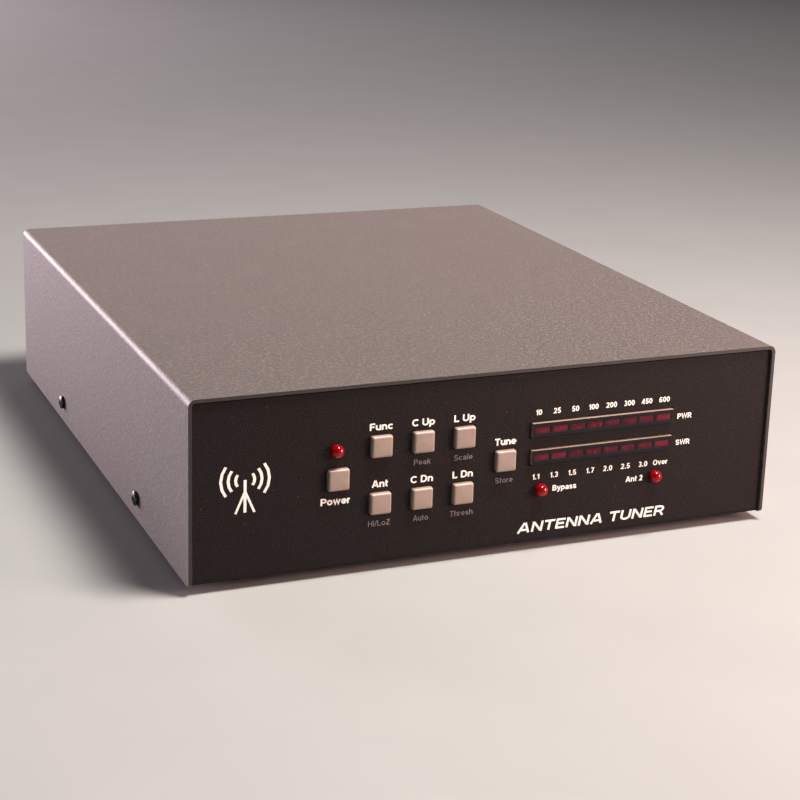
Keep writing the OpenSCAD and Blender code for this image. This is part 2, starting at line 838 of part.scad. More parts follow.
module ribbon_cable() {
  color([0.6, 0.6, 0.62]) at(ribbon_x - ribbon_w / 2, 0, 0) {
    translate([0, display_plug_y, ribbon_h_at - ribbon_t / 2])
      cube([ribbon_w, ribbon_run_y - display_plug_y, ribbon_t]);
    translate([0, ribbon_drop_y - ribbon_t / 2, main_plug_h_at])
      cube([ribbon_w, ribbon_t, ribbon_h_at - ribbon_bend - main_plug_h_at]);
    translate([0, ribbon_run_y, ribbon_h_at - ribbon_bend]) rotate([90, 0, 90])
      linear_extrude(ribbon_w) intersection() {
        difference() {
          circle(ribbon_bend + ribbon_t / 2);
          circle(ribbon_bend - ribbon_t / 2);
        }
        square(2 * ribbon_bend);
      }
  }
}

// A box header and the plug seated in it, drawn up from z = 0
module header_and_plug() {
  linear_extrude(header_h) round_rect(header_l, header_w, 0.5);
  translate([0, 0, header_h - eps]) linear_extrude(plug_h) round_rect(header_l - 3, plug_w, 0.5);
}

module ribbon_connectors() {
  color(black_plastic) {
    at(ribbon_x, display_back_y, ribbon_h_at) facing_back() header_and_plug();
    at(ribbon_x, ribbon_drop_y, main_top) header_and_plug();
  }
}

// ---- Rear panel ----

// A coaxial socket's metal shell: square flange, threaded barrel with four key notches, and rear collar
module socket_shell(x) {
  notch_w = 2.6;
  notch_l = 0.9;
  chamfer = 0.4;
  color(nickel) at(x, back_y, socket_h_at) facing_back() difference() {
    union() {
      linear_extrude(flange_t) round_rect(socket_flange_w, socket_flange_w, 1.5);
      cylinder(r = socket_r, h = socket_proud - chamfer);
      translate([0, 0, socket_proud - chamfer - eps])
        cylinder(r1 = socket_r, r2 = socket_r - chamfer, h = chamfer + eps);
      translate([0, 0, -socket_back_l]) cylinder(r = socket_r - 0.2, h = socket_back_l + eps);
    }
    translate([0, 0, -socket_back_l - 1]) cylinder(r = socket_bore_r, h = socket_proud + socket_back_l + 2);
    for (turn = [0, 90])
      rotate(turn) translate([-socket_r - 1, -notch_w / 2, socket_proud - notch_l])
        cube([2 * socket_r + 2, notch_w, 2]);
    for (sx = [-1, 1], sz = [-1, 1])
      translate([sx * fix_pitch / 2, sz * fix_pitch / 2, -1])
        cylinder(r = socket_screw_r + 0.15, h = flange_t + 2);
  }
}

module socket_shell_transmitter() { socket_shell(SOCKET_XS[0]); }
module socket_shell_antenna_1() { socket_shell(SOCKET_XS[1]); }
module socket_shell_antenna_2() { socket_shell(SOCKET_XS[2]); }

// Round insulators that fill the rear of each shell and carry the contact
module socket_insulators() {
  color(white_plastic) for (x = SOCKET_XS)
    at(x, back_y, socket_h_at) facing_back() translate([0, 0, -socket_back_l]) difference() {
      cylinder(r = socket_bore_r, h = socket_back_l + socket_proud - socket_mouth);
      translate([0, 0, -1]) cylinder(r = contact_r, h = socket_back_l + socket_proud);
    }
}

// Centre contacts: a split sleeve at the front and a solder tail behind
module socket_contacts() {
  sleeve_end = socket_proud - 1;
  slit_w = 0.4;
  slit_l = 5;
  bore_l = 13;
  color(brass) for (x = SOCKET_XS)
    at(x, back_y, socket_h_at) facing_back() difference() {
      union() {
        translate([0, 0, -socket_back_l]) cylinder(r = contact_r, h = socket_back_l + sleeve_end);
        translate([0, 0, -socket_back_l - contact_tail_l])
          cylinder(r = contact_tail_r, h = contact_tail_l + eps);
      }
      translate([0, 0, sleeve_end - bore_l]) cylinder(r = contact_bore_r, h = bore_l + 1);
      for (turn = [45, 135])
        rotate(turn) translate([-contact_r - 1, -slit_w / 2, sleeve_end - slit_l])
          cube([2 * contact_r + 2, slit_w, slit_l + 1]);
    }
}

module socket_screws() {
  color(steel) for (x = SOCKET_XS, sx = [-1, 1], sz = [-1, 1])
    at(x + sx * fix_pitch / 2, back_y + flange_t, socket_h_at + sz * fix_pitch / 2)
      facing_back() pan_screw(socket_screw_r, socket_screw_l, socket_screw_head_r, socket_screw_head_h);
}

module socket_nuts() {
  color(steel) for (x = SOCKET_XS, sx = [-1, 1], sz = [-1, 1])
    at(x + sx * fix_pitch / 2, back_inner_y, socket_h_at + sz * fix_pitch / 2)
      facing_front() hex_pillar(socket_nut_w, socket_nut_t, socket_screw_r + 0.05);
}

// Power inlet: a flanged body with a threaded barrel through the panel and a round mouth
dc_mouth_r = 3.15;
dc_mouth_l = 9.5;
dc_rim_t = 1.6;
dc_pin_r = 1.25;
dc_pin_l = 8.1;
dc_root_r = 1.5;
dc_root_l = 3;

module dc_jack() {
  rim_r = 6.8;
  tag_w = 0.8;
  tag_d = 2.4;
  color(black_plastic) at(dc_x, back_y, dc_h_at) facing_back() difference() {
    union() {
      cylinder(r = rim_r, h = dc_rim_t);
      translate([0, 0, -dc_body_l]) cylinder(r = dc_barrel_r, h = dc_body_l + eps);
      for (side = [-1, 1])
        translate([side * dc_tag_x - tag_w / 2, -tag_d / 2, -dc_body_l - dc_tag_l])
          cube([tag_w, tag_d, dc_tag_l + eps]);
    }
    translate([0, 0, dc_rim_t - dc_mouth_l]) cylinder(r = dc_mouth_r, h = dc_mouth_l + 1);
    translate([0, 0, dc_rim_t - dc_mouth_l - dc_root_l]) cylinder(r = dc_root_r, h = dc_root_l + 1);
  }
}

module dc_jack_pin() {
  color(nickel) at(dc_x, back_y, dc_h_at) facing_back()
    translate([0, 0, dc_rim_t - dc_mouth_l]) {
      translate([0, 0, -dc_root_l]) cylinder(r = dc_root_r, h = dc_root_l);
      cylinder(r = dc_pin_r, h = dc_pin_l);
      translate([0, 0, dc_pin_l - eps]) cylinder(r1 = dc_pin_r, r2 = dc_pin_r - 0.35, h = 0.4);
    }
}

// A 3.5 mm jack: threaded bushing through the panel and a moulded body behind it
module small_jack(x) {
  bushing_proud = 4;
  bore_l = 13;
  body_w = 10;
  body_h = 11;
  body_l = 12;
  tag_x = 3;
  tag_l = 3;
  tag_w = 0.6;
  tag_d = 2;
  color(black_plastic) at(x, back_y, jack_h_at) facing_back() difference() {
    union() {
      translate([0, 0, -sheet - eps]) cylinder(r = jack_bushing_r, h = bushing_proud + sheet + eps);
      translate([-body_w / 2, -body_h / 2, -sheet - body_l]) cube([body_w, body_h, body_l]);
      for (side = [-1, 1])
        translate([side * tag_x - tag_w / 2, -tag_d / 2, -sheet - body_l - tag_l])
          cube([tag_w, tag_d, tag_l + eps]);
    }
    translate([0, 0, bushing_proud - bore_l]) cylinder(r = jack_bore_r, h = bore_l + 1);
  }
}

module radio_jack() { small_jack(radio_x); }
module meter_jack() { small_jack(meter_x); }

// Round nuts outside the panel on the two small jacks, and a hexagonal one inside on the power inlet
module jack_nuts() {
  ring_r = 4.6;
  ring_t = 2.4;
  slot_w = 1;
  slot_z = 1.6;
  dc_nut_w = 14;
  dc_nut_t = 2.5;
  color(nickel) {
    for (x = [radio_x, meter_x])
      at(x, back_y, jack_h_at) facing_back() difference() {
        cylinder(r = ring_r, h = ring_t);
        translate([0, 0, -1]) cylinder(r = jack_bushing_r + 0.05, h = ring_t + 2);
        rotate(20) translate([-ring_r - 1, -slot_w / 2, slot_z]) cube([2 * ring_r + 2, slot_w, ring_t]);
      }
    at(dc_x, back_inner_y, dc_h_at) facing_front() hex_pillar(dc_nut_w, dc_nut_t, dc_barrel_r + 0.05);
  }
}

// Ground terminal
stud_proud = 17;
stud_inside = 9;
stud_chamfer = 0.5;
ground_nut_w = 8;
ground_washer_r = 5;

module ground_stud() {
  color(brass) at(ground_x, back_y, ground_h_at) facing_back() {
    translate([0, 0, -sheet - stud_inside])
      cylinder(r = stud_r, h = stud_inside + sheet + stud_proud - stud_chamfer);
    translate([0, 0, stud_proud - stud_chamfer - eps])
      cylinder(r1 = stud_r, r2 = stud_r - stud_chamfer, h = stud_chamfer);
  }
}

module ground_nuts() {
  color(brass) {
    at(ground_x, back_y, ground_h_at) facing_back()
      hex_pillar(ground_nut_w, ground_nut_t, stud_r + 0.05);
    at(ground_x, back_inner_y, ground_h_at) facing_front()
      hex_pillar(ground_nut_w, ground_nut_t, stud_r + 0.05);
  }
}

module ground_washer() {
  color(brass) at(ground_x, back_y + ground_nut_t, ground_h_at) facing_back() difference() {
    cylinder(r = ground_washer_r, h = ground_washer_t);
    translate([0, 0, -1]) cylinder(r = stud_r + 0.08, h = ground_washer_t + 2);
  }
}

// A wing nut: a round hub with two upswept wings
module ground_wing_nut() {
  hub_r = 4.2;
  hub_h = 5;
  wing_t = 2;
  wing_tip = [9, 7.8];
  wing_tip_r = 2.75;
  color(brass) at(ground_x, back_y + ground_nut_t + ground_washer_t, ground_h_at) facing_back() difference() {
    union() {
      cylinder(r = hub_r, h = hub_h);
      for (side = [0, 1])
        mirror([side, 0, 0]) rotate([90, 0, 0]) translate([0, 0, -wing_t / 2]) linear_extrude(wing_t) {
          polygon([[2.6, 1], [hub_r + 1.5, 1.5], [11.2, 6.2], [6.6, 9.4], [2.6, hub_h - 0.4]]);
          translate(wing_tip) circle(wing_tip_r);
        }
    }
    translate([0, 0, -1]) cylinder(r = stud_r + 0.05, h = stud_proud);
  }
}

// ---- Wiring ----

// A wire that runs forward from a tail, turns down and ends on the main board
module wire_down(x, start_y, h, r, run) {
  bend = 5;
  at(x, start_y, h) facing_front() cylinder(r = r, h = run);
  at(x, start_y - run, h - bend) rotate([0, -90, 180])
    rotate_extrude(angle = 90) translate([bend, 0]) circle(r);
  at(x, start_y - run - bend, main_top) cylinder(r = r, h = h - bend - main_top);
}

module rf_wires() {
  tail_end = back_y - socket_back_l - contact_tail_l;
  color(copper) for (x = SOCKET_XS) wire_down(x, tail_end, socket_h_at, 1.1, 12);
}

module power_leads() {
  tail_end = back_y - dc_body_l - dc_tag_l;
  color(lamp_red) for (side = [-1, 1]) wire_down(dc_x + side * dc_tag_x, tail_end, dc_h_at, 0.9, 8);
}

chassis();
cover();
cover_screws();
cover_nuts();
feet();
button_power();
button_function();
button_antenna();
button_c_up();
button_c_down();
button_l_up();
button_l_down();
button_tune();
switches();
display_board();
display_standoffs();
display_screws();
led_power();
led_bypass();
led_antenna_2();
led_spacers();
power_bar_holder();
power_bar_leds();
swr_bar_holder();
swr_bar_leds();
main_board();
board_standoffs();
board_screws();
bottom_screws();
socket_shell_transmitter();
socket_shell_antenna_1();
socket_shell_antenna_2();
socket_insulators();
socket_contacts();
socket_screws();
socket_nuts();
dc_jack();
dc_jack_pin();
radio_jack();
meter_jack();
jack_nuts();
ground_stud();
ground_nuts();
ground_washer();
ground_wing_nut();
inductor_cores();
inductor_windings();
bank_relays();
antenna_relays();
high_voltage_capacitors();
control_chips();
regulator();
heat_sink();
filter_capacitors();
coupler_cores();
coupler_line();
ribbon_cable();
ribbon_connectors();
rf_wires();
power_leads();
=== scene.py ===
"""The looks of a desktop antenna tuner, built round its CAD frame. Metres, +Z up, front towards -Y."""
import json
import math

import bmesh
import bpy
from mathutils import Matrix, Vector


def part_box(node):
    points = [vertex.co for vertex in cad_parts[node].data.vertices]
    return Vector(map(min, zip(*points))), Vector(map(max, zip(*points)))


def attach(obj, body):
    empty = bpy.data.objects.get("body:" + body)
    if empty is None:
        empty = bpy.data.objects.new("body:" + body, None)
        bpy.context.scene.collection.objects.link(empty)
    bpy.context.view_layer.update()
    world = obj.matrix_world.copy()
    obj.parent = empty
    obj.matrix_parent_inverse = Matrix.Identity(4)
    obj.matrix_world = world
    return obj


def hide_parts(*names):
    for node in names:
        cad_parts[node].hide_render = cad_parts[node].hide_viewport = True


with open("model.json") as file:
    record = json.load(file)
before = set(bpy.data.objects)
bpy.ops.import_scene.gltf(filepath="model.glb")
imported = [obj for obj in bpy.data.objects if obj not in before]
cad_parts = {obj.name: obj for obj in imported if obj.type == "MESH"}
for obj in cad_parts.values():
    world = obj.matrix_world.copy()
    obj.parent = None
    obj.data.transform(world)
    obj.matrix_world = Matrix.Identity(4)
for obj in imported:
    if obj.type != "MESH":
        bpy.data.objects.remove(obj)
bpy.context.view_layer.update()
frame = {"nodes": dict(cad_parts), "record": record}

MM = 0.001
KEYS = ("power", "function", "antenna", "c_up", "c_down", "l_up", "l_down", "tune")
LAMPS = ("led_power", "led_bypass", "led_antenna_2")
SOCKETS = ("transmitter", "antenna_1", "antenna_2")
SEGMENTS = 8

cover_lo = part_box("cover")[0]
chassis_lo, chassis_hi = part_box("chassis")
panel_y = chassis_lo.y
back_y = chassis_hi.y
sheet_t = 1.4 * MM


# ---- Node materials ----

class Look:
    """A Principled material, with short calls for the nodes that give it grain, wear and bumps."""

    def __init__(self, name, colour, roughness, metallic=0.0, **extra):
        self.material = bpy.data.materials.new(name)
        self.material.use_nodes = True
        self.tree = self.material.node_tree
        self.shader = self.tree.nodes["Principled BSDF"]
        self.colour = (*colour, 1.0)
        self.set("Base Color", self.colour)
        self.set("Roughness", roughness)
        self.set("Metallic", metallic)
        for socket, value in extra.items():
            self.set(socket.replace("_", " "), value)
        self.place = self.tree.nodes.new("ShaderNodeTexCoord").outputs["Object"]
        self.height = None

    def set(self, socket, value):
        self.shader.inputs[socket].default_value = value

    def node(self, kind, **values):
        made = self.tree.nodes.new("ShaderNode" + kind)
        for key, value in values.items():
            setattr(made, key, value)
        return made

    def link(self, source, target):
        self.tree.links.new(source, target)

    def noise(self, size, detail=3.0, rough=0.55, stretch=None):
        """Noise with features about `size` metres across; stretch scales each axis of the pattern."""
        made = self.node("TexNoise")
        made.inputs["Scale"].default_value = 1.0 / size
        made.inputs["Detail"].default_value = detail
        made.inputs["Roughness"].default_value = rough
        source = self.place
        if stretch:
            mapping = self.node("Mapping")
            mapping.inputs["Scale"].default_value = stretch
            self.link(source, mapping.inputs["Vector"])
            source = mapping.outputs["Vector"]
        self.link(source, made.inputs["Vector"])
        return made.outputs["Fac"]

    def specks(self, spacing, size):
        """1 in small round spots, one in each cell `spacing` metres across, and 0 between them."""
        cells = self.node("TexVoronoi")
        cells.inputs["Scale"].default_value = 1.0 / spacing
        self.link(self.place, cells.inputs["Vector"])
        return self.ramp(cells.outputs["Distance"], size, size * 0.4)

    def ramp(self, fac, start, end):
        """0 at `start` and 1 at `end`, straight between them."""
        made = self.node("MapRange")
        made.inputs["From Min"].default_value = start
        made.inputs["From Max"].default_value = end
        self.link(fac, made.inputs["Value"])
        return made.outputs["Result"]

    def both(self, a, b, operation="MULTIPLY"):
        made = self.node("Math", operation=operation)
        self.link(a, made.inputs[0])
        if isinstance(b, float):
            made.inputs[1].default_value = b
        else:
            self.link(b, made.inputs[1])
        return made.outputs[0]

    def tint(self, fac, colour):
        """Mixes `colour` over what the base colour has so far, by fac."""
        mix = self.node("Mix", data_type="RGBA")
        base = self.shader.inputs["Base Color"]
        if base.is_linked:
            self.link(base.links[0].from_socket, mix.inputs["A"])
        else:
            mix.inputs["A"].default_value = self.colour
        mix.inputs["B"].default_value = (*colour, 1.0)
        self.link(fac, mix.inputs["Factor"])
        self.link(mix.outputs["Result"], base)

    def gloss(self, fac, low, high):
        """Roughness from `low` to `high`, by fac."""
        made = self.node("MapRange")
        made.inputs["To Min"].default_value = low
        made.inputs["To Max"].default_value = high
        self.link(fac, made.inputs["Value"])
        self.link(made.outputs["Result"], self.shader.inputs["Roughness"])

    def bump(self, fac, height):
        """Adds a bump of `height` metres."""
        made = self.node("Bump")
        made.inputs["Distance"].default_value = height
        self.link(fac, made.inputs["Height"])
        if self.height:
            self.link(self.height, made.inputs["Normal"])
        self.height = made.outputs["Normal"]
        self.link(self.height, self.shader.inputs["Normal"])

    def edges(self, radius):
        """1 on sharp edges and 0 on flats, from how far a rounded normal turns from the true one."""
        rounded = self.node("Bevel", samples=4)
        rounded.inputs["Radius"].default_value = radius
        plain = self.node("NewGeometry")
        dot = self.node("VectorMath", operation="DOT_PRODUCT")
        self.link(rounded.outputs["Normal"], dot.inputs[0])
        self.link(plain.outputs["Normal"], dot.inputs[1])
        return self.ramp(dot.outputs["Value"], 0.995, 0.86)


def powder_coat(name, colour, roughness, specular, speckle, grain_size, sheen=0.0, ends=None):
    """Textured paint: lighter grains, pale specks, worn edges that also carry a painted highlight, and
    painted shade `ends` on the faces towards -Y and +Y.
    """
    look = Look(name, colour, roughness, IOR=1.5, Specular_IOR_Level=specular)
    look.set("Sheen Weight", sheen)
    look.set("Sheen Roughness", 0.4)
    look.set("Sheen Tint", (1.0, 0.92, 0.9, 1.0))
    grain = look.noise(grain_size * MM, detail=3.0, rough=0.75)
    cloud = look.noise(30 * MM, detail=2.0)
    look.tint(look.ramp(grain, 0.52, 0.7), speckle)
    look.tint(look.specks(6 * MM, 0.05), tuple(c * 3 for c in speckle))
    # Worn edges and a painted highlight: the sharp edges get the paler speck colour, in patches.
    wear_and_edge_highlight = look.both(look.edges(0.15 * MM), look.ramp(look.noise(3 * MM), 0.5, 0.72))
    look.tint(wear_and_edge_highlight, speckle)
    # Painted shade: `ends` darkens the faces towards -Y and +Y, such as the cover's front and rear sheet
    # edges.
    if ends:
        facing = look.node("SeparateXYZ")
        look.link(look.node("NewGeometry").outputs["True Normal"], facing.inputs["Vector"])
        look.tint(look.ramp(facing.outputs["Y"], -0.75, -0.95), ends)
        look.tint(look.ramp(facing.outputs["Y"], 0.75, 0.95), ends)
    look.gloss(look.both(grain, cloud, "ADD"), roughness - 0.12, roughness + 0.12)
    look.bump(grain, 0.2 * MM)
    look.bump(look.noise(2.2 * MM, detail=1.0), 0.012 * MM)
    return look.material


def plastic(name, colour, roughness, grain=0.25, depth=0.01, **extra):
    """Moulded plastic or rubber, with faint patches and paler edges; grain and depth are in millimetres."""
    look = Look(name, colour, roughness, **extra)
    fine = look.noise(grain * MM, detail=2.0)
    broad = look.noise(5 * MM, detail=3.0)
    look.tint(look.ramp(broad, 0.45, 0.75), tuple(min(1.0, c * 0.82) for c in colour))
    look.tint(look.both(look.edges(0.2 * MM), 0.5), tuple(min(1.0, c * 1.35 + 0.01) for c in colour))
    look.gloss(broad, roughness - 0.08, roughness + 0.1)
    look.bump(fine, depth * MM)
    return look.material


def metal(name, colour, roughness):
    """Bare or plated metal, with a patchy dull film and small dark spots."""
    look = Look(name, colour, roughness, 1.0)
    film = look.noise(2.5 * MM, detail=4.0)
    fine = look.noise(0.12 * MM, detail=2.0)
    look.tint(look.ramp(film, 0.45, 0.8), tuple(c * 0.6 for c in colour))
    look.tint(look.specks(1.7 * MM, 0.05), tuple(c * 0.35 for c in colour))
    look.gloss(film, roughness - 0.08, roughness + 0.18)
    look.bump(fine, 0.004 * MM)
    return look.material


def lens(name, colour):
    """A lamp's tinted resin, which lets light in, with painted shade that makes it darker towards its top.
    """
    look = Look(name, colour, 0.08, IOR=1.5, Specular_IOR_Level=0.15, Coat_Weight=0.4)
    look.set("Coat Roughness", 0.03)
    look.set("Subsurface Weight", 0.35)
    look.set("Subsurface Radius", (1.0, 0.05, 0.05))
    look.set("Subsurface Scale", 1.5 * MM)
    haze = look.noise(1.2 * MM, detail=3.0)
    look.tint(look.ramp(haze, 0.4, 0.75), tuple(c * 0.6 for c in colour))
    # Painted shade: the upper part of the lens is darkened by its height.
    height = look.node("SeparateXYZ")
    look.link(look.node("TexCoord").outputs["Generated"], height.inputs["Vector"])
    look.tint(look.ramp(height.outputs["Z"], 0.25, 0.6), tuple(c * 0.42 for c in colour))
    look.gloss(haze, 0.03, 0.12)
    look.bump(look.noise(0.5 * MM), 0.004 * MM)
    return look.material


def segment_window(name, colour):
    """A bar meter's lamps, each a little lighter or darker than the next."""
    look = Look(name, colour, 0.35, Specular_IOR_Level=0.2)
    island = look.node("NewGeometry").outputs["Random Per Island"]
    look.tint(look.ramp(island, 0.2, 1.0), tuple(c * 0.45 for c in colour))
    look.tint(look.ramp(look.noise(1.5 * MM), 0.5, 0.75), tuple(c * 1.5 for c in colour))
    look.gloss(look.noise(0.8 * MM), 0.25, 0.5)
    look.bump(look.noise(0.25 * MM), 0.006 * MM)
    return look.material


def lettering(name, colour):
    """Printed ink, a little thin in places."""
    look = Look(name, colour, 0.5)
    look.tint(look.ramp(look.noise(0.35 * MM), 0.55, 0.8), tuple(c * 0.7 for c in colour))
    look.gloss(look.noise(0.6 * MM), 0.4, 0.6)
    look.bump(look.noise(0.3 * MM), 0.006 * MM)
    return look.material


def circuit_board(name):
    look = Look(name, (0.015, 0.12, 0.05), 0.3)
    weave = look.noise(0.6 * MM, stretch=(1, 6, 1))
    look.tint(look.ramp(weave, 0.4, 0.8), (0.03, 0.2, 0.08))
    look.gloss(weave, 0.2, 0.4)
    look.bump(weave, 0.01 * MM)
    return look.material


LOOKS = {
    # cover_paint and chassis_paint are one black powder coat: the cover's lighter colour and brighter specks
    # are a painted lit copy, and the chassis's darker colour is a painted shaded copy.
    "cover_paint": powder_coat(
        "cover_paint", (0.016, 0.012, 0.010), roughness=0.47, specular=0.65, speckle=(0.11, 0.093, 0.078),
        # ends: painted shade on the cover's faces towards the front and back.
        grain_size=1.5, sheen=0.25, ends=(0.004, 0.003, 0.003)),
    # Painted shade: this darker copy of the coat stands for the front panel lying in shade.
    "chassis_paint": powder_coat(
        "chassis_paint", (0.0035, 0.0025, 0.003), roughness=0.48, specular=0.19,
        speckle=(0.028, 0.017, 0.0135), grain_size=0.6),
    "black_screws": metal("black_screws", (0.10, 0.095, 0.10), 0.34),
    "zinc_steel": metal("zinc_steel", (0.62, 0.62, 0.64), 0.3),
    "foot_rubber": plastic("foot_rubber", (0.02, 0.02, 0.021), 0.8, grain=0.4, depth=0.03),
    "key_plastic": plastic("key_plastic", (0.28, 0.215, 0.18), 0.42, Specular_IOR_Level=0.8),
    "lamp_lens": lens("lamp_lens", (0.44, 0.003, 0.010)),
    "bar_housing": plastic("bar_housing", (0.004, 0.004, 0.008), 0.5, Specular_IOR_Level=0.2),
    "bar_segments": segment_window("bar_segments", (0.105, 0.006, 0.017)),
    "black_plastic": plastic("black_plastic", (0.022, 0.022, 0.024), 0.45),
    "circuit_board": circuit_board("circuit_board"),
    "nickel": metal("nickel", (0.66, 0.62, 0.55), 0.24),
    "white_insulator": plastic("white_insulator", (0.78, 0.76, 0.71), 0.5),
    "contact_metal": metal("contact_metal", (0.8, 0.72, 0.52), 0.28),
    "ground_brass": metal("ground_brass", (0.70, 0.50, 0.22), 0.27),
    "iron_powder": plastic("iron_powder", (0.36, 0.03, 0.02), 0.55),
    "copper_wire": metal("copper_wire", (0.72, 0.30, 0.12), 0.25),
    "relay_case": plastic("relay_case", (0.03, 0.07, 0.3), 0.35),
    "capacitor_coat": plastic("capacitor_coat", (0.04, 0.12, 0.38), 0.3),
    "black_aluminium": metal("black_aluminium", (0.05, 0.05, 0.055), 0.45),
    "capacitor_sleeve": plastic("capacitor_sleeve", (0.015, 0.018, 0.06), 0.3),
    "ferrite": plastic("ferrite", (0.06, 0.06, 0.063), 0.6),
    "ribbon_grey": plastic("ribbon_grey", (0.4, 0.4, 0.42), 0.5),
    "lead_sleeve": plastic("lead_sleeve", (0.35, 0.012, 0.012), 0.45),
    # Painted highlight: the bar housing's sides are coloured light tan to stand for lit edges.
    "bar_sides_painted_highlight": plastic("bar_sides_painted_highlight", (0.27, 0.2, 0.15), 0.5),
    "white_ink": lettering("white_ink", (0.93, 0.9, 0.86)),
    "grey_ink": lettering("grey_ink", (0.21, 0.19, 0.185)),
}


# ---- Mesh helpers ----

def new_piece(name, mesh, materials, body="case", replaces=()):
    """Turns a bmesh into a smooth-shaded object that rides on a body and may stand for CAD nodes."""
    bmesh.ops.recalc_face_normals(mesh, faces=mesh.faces)
    data = bpy.data.meshes.new(name)
    mesh.to_mesh(data)
    mesh.free()
    for material in materials:
        data.materials.append(LOOKS[material])
    piece = bpy.data.objects.new(name, data)
    bpy.context.scene.collection.objects.link(piece)
    data.shade_smooth()
    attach(piece, body)
    if replaces:
        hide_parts(*replaces)
    return piece


def round_edges(piece, width, angle=35, weld=False):
    """Rounds a piece's sharp edges with modifiers, which leave its own mesh as it is."""
    if weld:
        piece.modifiers.new("weld", "WELD").merge_threshold = 0.001 * MM
    bevel = piece.modifiers.new("round", "BEVEL")
    bevel.width = width
    bevel.segments = 2
    bevel.limit_method = "ANGLE"
    bevel.angle_limit = math.radians(angle)
    bevel.use_clamp_overlap = True
    piece.modifiers.new("normals", "WEIGHTED_NORMAL").keep_sharp = True


def smooth_by_angle(piece, angle):
    """Smooth shading that still keeps edges sharper than angle (degrees) crisp."""
    piece.data.shade_smooth()
    piece.data.set_sharp_from_angle(angle=math.radians(angle))


def rounded_outline(half_w, half_h, radius, steps=6):
    """Points round a rectangle with round corners, anticlockwise, as (across, up)."""
    points = []
    for corner, (sx, sy) in enumerate(((1, 1), (-1, 1), (-1, -1), (1, -1))):
        centre_x = sx * (half_w - radius)
        centre_y = sy * (half_h - radius)
        for step in range(steps + 1):
            turn = math.radians(90 * (corner + step / steps))
            points.append((centre_x + radius * math.cos(turn), centre_y + radius * math.sin(turn)))
    return points


def join_loops(mesh, a, b):
    """A strip of quads between two loops of vertices."""
    count = len(a)
    return [mesh.faces.new((a[i], a[(i + 1) % count], b[(i + 1) % count], b[i])) for i in range(count)]


def loft(mesh, rings, close_start=True, close_end=True, material=0):
    """Joins rings of points with quads, and closes the first and last ring if asked."""
    loops = [[mesh.verts.new(p) for p in ring] for ring in rings]
    faces = []
    for a, b in zip(loops, loops[1:]):
        faces += join_loops(mesh, a, b)
    if close_start:
        faces.append(mesh.faces.new(loops[0]))
    if close_end:
        faces.append(mesh.faces.new(loops[-1]))
    for face in faces:
        face.material_index = material
    return loops


def outline_ring(centre, y, outline):
    """An outline stood upright in the XZ plane round a centre, at depth y."""
    return [Vector((centre.x + across, y, centre.z + up)) for across, up in outline]


def circle_ring(centre, y, radius, count=48):
    """Points of a circle round a line along Y through centre, at depth y."""
    return [
        Vector((centre.x + radius * math.cos(2 * math.pi * i / count), y,
                centre.z + radius * math.sin(2 * math.pi * i / count)))
        for i in range(count)
    ]


def box_middle(node):
    low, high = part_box(node)
    return (low + high) / 2


# ---- Case ----

def dress_frame():
    """Gives each CAD node that stays in view its material, and rounds its sharp edges."""
    slots = {part["node"]: part["material_slot"] for part in frame["record"]["subparts"]}
    for name, node in frame["nodes"].items():
        node.data.materials.clear()
        node.data.materials.append(LOOKS[slots[name]])
    edge_radius = {
        "cover": 0.2, "chassis": 0.2, "cover_screws": 0.12, "bottom_screws": 0.12, "socket_screws": 0.1,
        "dc_jack": 0.2, "radio_jack": 0.15, "meter_jack": 0.15, "ground_nuts": 0.15, "ground_washer": 0.12,
        "ground_wing_nut": 0.3, "socket_contacts": 0.06,
    }
    for name, radius in edge_radius.items():
        round_edges(frame["nodes"][name], radius * MM, weld=True)


# ---- Front panel ----

def key_cap(key):
    """A moulded cap with a flat face, soft edges and a slight draft, on its square plunger."""
    node = "button_" + key
    low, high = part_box(node)
    centre = (low + high) / 2
    half = (high.x - low.x) / 2
    fillet = 0.9 * MM
    corner = 0.7 * MM
    face_corner = 0.45 * MM
    draft = 0.08 * MM
    face_t = 2.0 * MM
    wall = 1.1 * MM
    skirt_end = low.y + 5.4 * MM
    rings = []
    fillet_steps = 7
    for step in range(fillet_steps + 1):
        turn = math.radians(90 * step / fillet_steps)
        size = half - draft - fillet * (1 - math.sin(turn))
        depth = low.y + fillet * (1 - math.cos(turn))
        radius = corner - (corner - face_corner) * (1 - math.sin(turn))
        rings.append(outline_ring(centre, depth, rounded_outline(size, size, radius)))
    rings.append(outline_ring(centre, skirt_end, rounded_outline(half, half, corner)))
    inner = rounded_outline(half - wall, half - wall, 0.3 * MM)
    rings.append(outline_ring(centre, skirt_end, inner))
    rings.append(outline_ring(centre, low.y + face_t, inner))
    mesh = bmesh.new()
    loft(mesh, rings)
    plunger_half = 1.9 * MM
    overlap = 0.2 * MM
    plunger = rounded_outline(plunger_half, plunger_half, 0.3 * MM, 2)
    loft(mesh, [outline_ring(centre, y, plunger) for y in (low.y + face_t - overlap, high.y)])
    cap = new_piece("cap_" + key, mesh, ["key_plastic"], "key_" + key, [node])
    smooth_by_angle(cap, 50)


